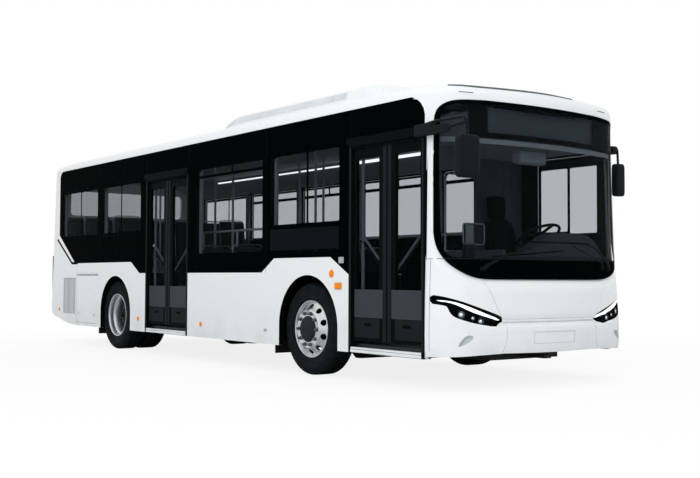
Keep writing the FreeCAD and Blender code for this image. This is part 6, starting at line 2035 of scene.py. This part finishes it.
class BUS_OT_doors(bpy.types.Operator):
    """Door leaves' lower panels, meeting posts, recessed handles, rails and white thresholds"""
    bl_idname = "bus.doors"
    bl_label = "Doors"

    def execute(self, context):
        sills, edges = [], []
        post_foot, post_head = 0.404, 2.266
        # The doorway's edge profiles: heights, and how far in from the doorway's own edges
        foot, head, near, far = 0.345, 2.352, 0.008, 0.034
        rail_y = LEAF_FACE + 0.035 + 0.022
        for door, (x0, x1) in DOORS.items():
            for a, b, z0, z1 in ((x0 + near, x0 + far, foot, head),
                                 (x1 - far, x1 - near, foot, head),
                                 (x0 + near, x1 - near, 2.334, head)):
                edges.append(slab((a, -HALF - 0.0055, z0), (b, -HALF + 0.004, z1), 0.002))
            for z0, z1, out in ((0.2885, 0.318, 0.0085), (0.319, 0.3412, 0.0055)):
                sills.append(slab((x0 + 0.036, -HALF - out, z0), (x1 - 0.036, -HALF + 0.030, z1),
                                  0.004))
            for place, way in (("front", -1.0), ("rear", 1.0)):
                leaf = door + "_door_" + place + "_leaf"
                name = door + "_" + place + "_leaf_"
                outer, meeting = (low(leaf)[0], high(leaf)[0])[::int(way)]
                handle_x = (outer + meeting) / 2.0 - way * 0.03

                def block(x_a, x_b, out, z_a, z_b, edge, sunk_in=0.002):
                    """A block on the leaf's face, that far out of it."""
                    return slab((x_a, LEAF_FACE - out, z_a), (x_b, LEAF_FACE + sunk_in, z_b), edge)
                edge_x, plate = outer + way * 0.012, 0.0015
                panel = block(edge_x, meeting - way * 0.062, plate, 0.628, 0.900, plate)
                put(name + "lower_panel", [panel], "door_panel", leaf)
                skin = [block(edge_x, meeting - way * 0.112, plate, 0.436, 0.625, plate),
                        block(meeting - way * 0.060, meeting - way * 0.006, 0.0060, post_foot,
                              post_head, 0.005)]
                put(name + "skin", skin, "door_sheet", leaf)
                seals = [block(handle_x - 0.055, handle_x + 0.055, 0.0040, 0.548, 0.578, 0.003),
                         block(meeting, meeting - way * 0.006, 0.0035, post_foot, post_head,
                               0.0015, 0.030)]
                put(name + "seals", seals, "soft_black", leaf)
                rails = [tube([(outer + way * 0.070, rail_y, 1.425),
                               (meeting - way * 0.085, rail_y, 1.095)], 0.0128, 16)]
                if place == "rear":
                    rails.append(tube([(outer + 0.080, rail_y - 0.004, 0.46),
                                       (outer + 0.080, rail_y - 0.004, 2.24)], 0.016, 16))
                put(name + "rail", rails, "door_rail", leaf)
        put("door_edge_profiles", edges, "door_sheet")
        put("door_thresholds", sills, "white")
        return {"FINISHED"}

class BUS_OT_passenger_seats(bpy.types.Operator):
    """Padded passenger seats with moulded shells, tube frames and legs"""
    bl_idname = "bus.passenger_seats"
    bl_label = "Passenger seats"

    def execute(self, context):
        half = SEAT_WIDTH / 2.0
        pad = stuffed("seat_pad", seat_pad_shape(), 0.016, 0.012)
        back, back_faces = rounded_block((-0.212, 0.0, SEAT_TOP + 0.275), (0.012, half, 0.290),
                                         0.2, 14, 28)
        under = rounded_block((0.006, 0.0, SEAT_TOP - 0.070), (0.208, half, 0.014), 0.2, 10, 28)
        leg = slab((-0.060, -0.040, 0.0), (0.060, 0.040, SEAT_TOP - 0.070), 0.006)
        shell = joined([(leaned(back), back_faces), under, leg])
        x, y, foot, top = -0.232, half - 0.012, SEAT_TOP + 0.020, SEAT_TOP + 0.590
        frame_path = rounded_path(
            leaned([(x, -y, foot), (x, -y, top), (x, y, top), (x, y, foot)]), 0.060, 7)
        frame_tube = tube(frame_path, 0.011, 10)
        pads, shells, frames = (
            [placed(shape, place[:3], place[3]) for place in seat_places()]
            for shape in (pad, shell, frame_tube))
        piece = put("passenger_seat_pads", pads, "cloth",
                    replaces=("passenger_seats",), sharp=80.0)
        put("passenger_seat_shells", shells, "seat_shell")
        put("passenger_seat_frames", frames, "pole")
        return {"FINISHED"}


class BUS_OT_drivers_seat(bpy.types.Operator):
    """Driver's seat: padded cushion, winged back and headrest on a bellows pedestal"""
    bl_idname = "bus.drivers_seat"
    bl_label = "Driver's seat"

    def execute(self, context):
        # The seat stands nearer the side window than the frame's own
        x, y = FRONT_AXLE + 1.060, middle("drivers_seat")[1] + 0.150
        hips = 1.06
        cushion, a = rounded_block((x + 0.015, y, 1.050), (0.232, 0.232, 0.050), 0.3, 26, 52)
        back, b = rounded_block((x - 0.185, y, 1.380), (0.050, 0.222, 0.300), 0.42, 40, 56)
        # Shoulders narrow toward the headrest, and the sides come forward as wings
        narrowing = 0.22 * np.clip((back[:, 2] - 1.50) / 0.20, 0.0, 1.0) ** 2
        back[:, 1] = y + (back[:, 1] - y) * (1.0 - narrowing)
        back[:, 0] += 0.045 * (np.abs(back[:, 1] - y) / 0.222) ** 3
        head, c = rounded_block((x - 0.200, y, 1.800), (0.038, 0.125, 0.125), 0.40, 26, 44)
        pad = stuffed("driver_pad", joined([(cushion, a), (leaned(back, 0.13, hips), b),
                                            (leaned(head, 0.08, hips), c)]), 0.010, 0.012)
        piece = put("driver_seat_pads", [pad], "driver_cloth",
                    replaces=("drivers_seat",), sharp=80.0)
        folds = [(0.165 + 0.012 * (i % 2), 0.655 + 0.028 * i) for i in range(12)]
        bellows = turned([(0.0, 0.640), *folds, (0.150, 0.990), (0.0, 0.990)],
                         (x, y, 0.0), (0, 0, 1), (1, 0, 0), 32)
        posts = [tube([(x - 0.270, y + d, 1.640), (x - 0.268, y + d, 1.760)], 0.008, 10)
                 for d in (-0.05, 0.05)]
        put("driver_seat_base", [bellows, *posts], "soft_black")
        return {"FINISHED"}


class BUS_OT_cab(bpy.types.Operator):
    """Cab partition with its glazed strip, dashboard hood, ticket reader and overhead rail"""
    bl_idname = "bus.cab"
    bl_label = "Driver's cab"

    def execute(self, context):
        (x0, y0, _), (_, y1, top) = low("cab_partition"), high("cab_partition")
        solid_y, rail_z, sheet, wall_top, seam_pitch = 0.500, 1.300, 0.030, 2.330, 0.13
        rail_x = x0 + sheet / 2.0
        wall = [slab((x0, solid_y, LOW_FLOOR), (x0 + sheet, y1, wall_top), 0.004),
                slab((x0, y0, LOW_FLOOR), (x0 + sheet, solid_y, rail_z), 0.004),
                slab((x0 + sheet, y0, 0.640), (x0 + 0.900, y0 + 0.028, rail_z), 0.004)]
        wall += [slab((x0 + 0.028, y, 1.150), (x0 + 0.036, y + 0.012, 2.300), 0.003)
                 for y in np.arange(solid_y + 0.16, y1 - 0.05, seam_pitch)]
        glass = slab((x0 + 0.012, y0 + 0.012, rail_z), (x0 + 0.018, solid_y, top - 0.012), 0.001)
        rails = [tube(rounded_path([(rail_x, y0 + 0.012, LOW_FLOOR + 0.01),
                                    (rail_x, y0 + 0.012, top), (rail_x, solid_y, top)], 0.08),
                      0.014, 12),
                 tube([(x0 + 0.034, y0, rail_z), (x0 + 0.034, solid_y, rail_z)], 0.012, 12)]
        reader_x, reader_foot, reader_head = FRONT_AXLE + 1.600, 1.340, 1.540
        frame_loop = rounded_path([
            (reader_x, -0.530, reader_foot), (reader_x, -0.250, reader_foot),
            (reader_x, -0.250, reader_head), (reader_x, -0.530, reader_head)], 0.030, 6, True)
        rails.append(tube(frame_loop, 0.008, 10, True))
        dark = [slab((reader_x - 0.020, -0.520, 1.345), (reader_x + 0.010, -0.260, 1.535), 0.006),
                slab((reader_x - 0.030, -0.520, LOW_FLOOR), (reader_x + 0.040, -0.400, 1.340),
                     0.006)]
        strip = in_arc(rectangle(-1.180, 1.200, 2.240, 2.286))
        pale = [slab((reader_x + 0.008, -0.505, 1.350), (reader_x + 0.014, -0.400, 1.530), 0.003),
                slab((FRONT_AXLE + 1.840, -0.115, 2.120), (FRONT_AXLE + 1.960, 0.247, 2.250),
                     0.012),
                trimmed(sunk(screen_shape, 0.035), strip, (), 0.08, 0.008)]
        for name, shapes, material, slot, nodes in (
                ("cab_partition_wall", wall, "cab_panel", "dark_plastic", ("cab_partition",)),
                ("cab_partition_glass", [glass], "clear_pane", "clear_glass", ()),
                ("cab_rails", rails, "pole", "handrail_steel", ()),
                ("ticket_reader", dark, "cab_wall", "dark_plastic", ()),
                ("cab_overhead", pale, "header", "grey_plastic", ()),
                ("dashboard_hood", [dash_shape()], "dash", "dark_plastic", ())):
            put(name, shapes, material, replaces=nodes)
        return {"FINISHED"}


class BUS_OT_saloon(bpy.types.Operator):
    """Ceiling light strips, poles and rails, window pillars' covers, and a pale ledge under the
    left windows whose grey is a painted highlight
    """
    bl_idname = "bus.saloon"
    bl_label = "Saloon fittings"

    def execute(self, context):
        lights, poles, pillars = [], [], []
        pole_y, pole_top, light_y, light_z = 0.297, 2.558, 0.816, 2.521
        for side, panes, feet in ((-1.0, RIGHT_PANES, RIGHT_POLES),
                                  (1.0, LEFT_PANES[:5], LEFT_POLES)):
            for start, end in LIGHT_RUNS:
                lights.append(tube([(FRONT_AXLE + start, side * light_y, light_z),
                                    (FRONT_AXLE + end, side * light_y, light_z)], 0.020, 10))
            for start, _, foot, _ in panes:
                x = FRONT_AXLE + start
                pillars.append(slab((x - 0.060, side * (HALF - 0.050), foot - 0.30),
                                    (x + 0.030, side * (HALF - 0.095), 2.335), 0.012))
            y = side * pole_y
            for x in (FRONT_AXLE + foot for foot in feet):
                floor_z = HIGH_FLOOR if x < low("low_floor")[0] else LOW_FLOOR
                poles.append(tube([(x, y, floor_z), (x, y, pole_top)], 0.016, 14))
                for z, way in ((floor_z, 1.0), (pole_top, -1.0)):
                    flange = [(0.0, 0.0), (0.034, 0.0), (0.030, 0.012 * way),
                              (0.017, 0.016 * way), (0.0, 0.016 * way)]
                    poles.append(turned(flange, (x, y, z), (0, 0, 1), (1, 0, 0), 20))
            poles.append(tube([(FRONT_AXLE + feet[0], y, 2.440), (FRONT_AXLE + feet[-1], y, 2.440)],
                              0.014, 12))
        # Barrier rail on its three posts behind the right side's long window
        rail_z, rail_y = 1.564, -HALF + 0.150
        poles.append(tube([(FRONT_AXLE - 2.480, rail_y, rail_z),
                           (FRONT_AXLE - 0.840, rail_y, rail_z)], 0.014, 12))
        for x in (FRONT_AXLE - 2.460, FRONT_AXLE - 1.640, FRONT_AXLE - 0.860):
            poles.append(tube([(x, rail_y, LOW_FLOOR), (x, rail_y, rail_z)], 0.013, 12))
        # The ledge is pale grey as a painted highlight: the light that its top catches
        ledge = slab((FRONT_AXLE - 3.780, HALF - 0.125, 1.530),
                     (FRONT_AXLE + 0.640, HALF - 0.052, 1.562), 0.006)
        for name, shapes, material, slot, nodes in (
                ("ceiling_light_strips", lights, "strip_light", "lamp_cover", ()),
                ("saloon_poles", poles, "pole", "handrail_steel", ("handrails",)),
                ("pillar_covers", pillars, "header", "grey_plastic", ()),
                ("window_ledge", [ledge], "grey_plastic", "grey_plastic", ())):
            put(name, shapes, material, replaces=nodes)
        return {"FINISHED"}

def rear_face(node, y, z):
    """Point and outward direction where a rear CAD piece's outer face stands, found by a ray
    from behind."""
    start, way = Vector((TAIL - 0.5, y, z)), Vector((1.0, 0.0, 0.0))
    hit, place, normal, _ = NODES[node].ray_cast(start, way)
    if not hit:
        raise RuntimeError("no face of " + node)
    return np.array(place), np.array(normal if normal.x < 0.0 else -normal)


class BUS_OT_rear(bpy.types.Operator):
    """Engine cover's louvres and latch, tail lamps' lenses and bezels, and the wall linings"""
    bl_idname = "bus.rear"
    bl_label = "Rear details"

    def execute(self, context):
        face = low("engine_cover")[0]
        heights = np.linspace(0.670, 1.520, 18)
        face_x = [rear_face("engine_cover", 0.30, z)[0][0] for z in heights]
        slat_height, slat_pitch, half_width = 0.026, 0.042, 0.646
        foot, head, lean = 0.700, 1.030, 0.006
        backing = slab((face - 0.0015, -0.640, foot), (face + 0.004, 0.640, head), 0.001)
        slats = []
        for z in np.arange(foot + 0.012, head - 0.020, slat_pitch):
            lip, faces = slab((face - 0.008, -half_width, z),
                              (face + 0.003, half_width, z + slat_height), 0.002)
            # Each slat leans out toward its foot, so that rain runs off
            lip[:, 0] += lean * (lip[:, 2] - z) / slat_height
            slats.append((lip, faces))
        slats += [slab((face - 0.006, y - 0.010, 0.694), (face + 0.003, y + 0.010, 1.036), 0.002)
                  for y in (-half_width, 0.0, half_width)]
        latch = slab((face - 0.004, -0.070, 1.440), (face + 0.002, 0.070, 1.476), 0.003)
        for name, shapes, material, slot in (
                ("louvre_backing", [backing], "soft_black", "dark_plastic"),
                ("louvre_slats", slats, "white", "white_paint"),
                ("engine_cover_latch", [latch], "soft_black", "dark_plastic")):
            # They are built upright and then moved onto the cover's leaning face
            for points, _ in shapes:
                points[:, 0] += np.interp(points[:, 2], heights, face_x) - face
            put(name, shapes, material, "engine_cover")
        for name, z, material in (("brake", 1.250, "tail_lens"), ("turn", 1.060, "amber_lens"),
                                  ("reverse", 0.870, "lamp_lens")):
            lenses = []
            for side in (-1.0, 1.0):
                place, out = rear_face("tail_lamps", side * 1.172, z)
                lenses.append(turned(TAIL_LENS, place, out, np.cross(out, (0, 0, 1)), 32))
            put("tail_lamp_" + name + "_lenses", lenses, material)
        bezels = []
        linings = [slab((TAIL + 0.206, -1.190, 1.560), (TAIL + 0.212, 1.190, 1.970), 0.002)]
        for side in (-1.0, 1.0):
            bezels.append(slab((TAIL + 0.028, side * 1.204, 0.772),
                               (TAIL + 0.070, side * 1.2380, 1.348), 0.006))
            # Back covers of the lamps, and the wall lining below the windows
            linings += [slab((TAIL + 0.148, side * 0.930, 0.700),
                             (TAIL + 0.153, side * 1.212, 1.420), 0.002),
                        slab((REAR_AXLE + 2.300, side * 1.214, 0.400),
                             (FRONT_AXLE - 0.700, side * 1.219, 1.060), 0.002)]
        put("tail_lamp_bezels", bezels, "soft_black")
        put("wall_linings", linings, "cab_wall")
        return {"FINISHED"}

GROUPS = (BusColours, BusSizes, StageSettings)
OPERATORS = (
    BUS_OT_finishes,
    BUS_OT_front_panels,
    BUS_OT_front_seams,
    BUS_OT_windscreen,
    BUS_OT_roof,
    BUS_OT_roof_pod,
    BUS_OT_wheels,
    BUS_OT_headlights,
    BUS_OT_mirrors,
    BUS_OT_wipers,
    BUS_OT_window_borders,
    BUS_OT_side_trim,
    BUS_OT_side_lamps,
    BUS_OT_side_grille,
    BUS_OT_doors,
    BUS_OT_passenger_seats,
    BUS_OT_drivers_seat,
    BUS_OT_cab,
    BUS_OT_saloon,
    BUS_OT_rear,
    BUS_OT_stage,
)


class BUS_PT_panel(bpy.types.Panel):
    bl_label = "City bus"
    bl_idname = "BUS_PT_panel"
    bl_space_type = "VIEW_3D"
    bl_region_type = "UI"
    bl_category = "City bus"

    def draw(self, context):
        scene = context.scene
        for settings in (scene.bus_colours, scene.bus_sizes, scene.bus_stage):
            box = self.layout.box()
            for name in settings.__annotations__:
                box.prop(settings, name)
        for operator in OPERATORS:
            self.layout.operator(operator.bl_idname)


def register():
    for cls in (*GROUPS, *OPERATORS, BUS_PT_panel):
        bpy.utils.register_class(cls)
    bpy.types.Scene.bus_colours = PointerProperty(type=BusColours)
    bpy.types.Scene.bus_sizes = PointerProperty(type=BusSizes)
    bpy.types.Scene.bus_stage = PointerProperty(type=StageSettings)


def unregister():
    for name in ("bus_stage", "bus_sizes", "bus_colours"):
        delattr(bpy.types.Scene, name)
    for cls in reversed((*GROUPS, *OPERATORS, BUS_PT_panel)):
        bpy.utils.unregister_class(cls)


def main():
    register()
    for operator in OPERATORS:
        group, name = operator.bl_idname.split(".")
        getattr(getattr(bpy.ops, group), name)()


if __name__ == "__main__":
    main()
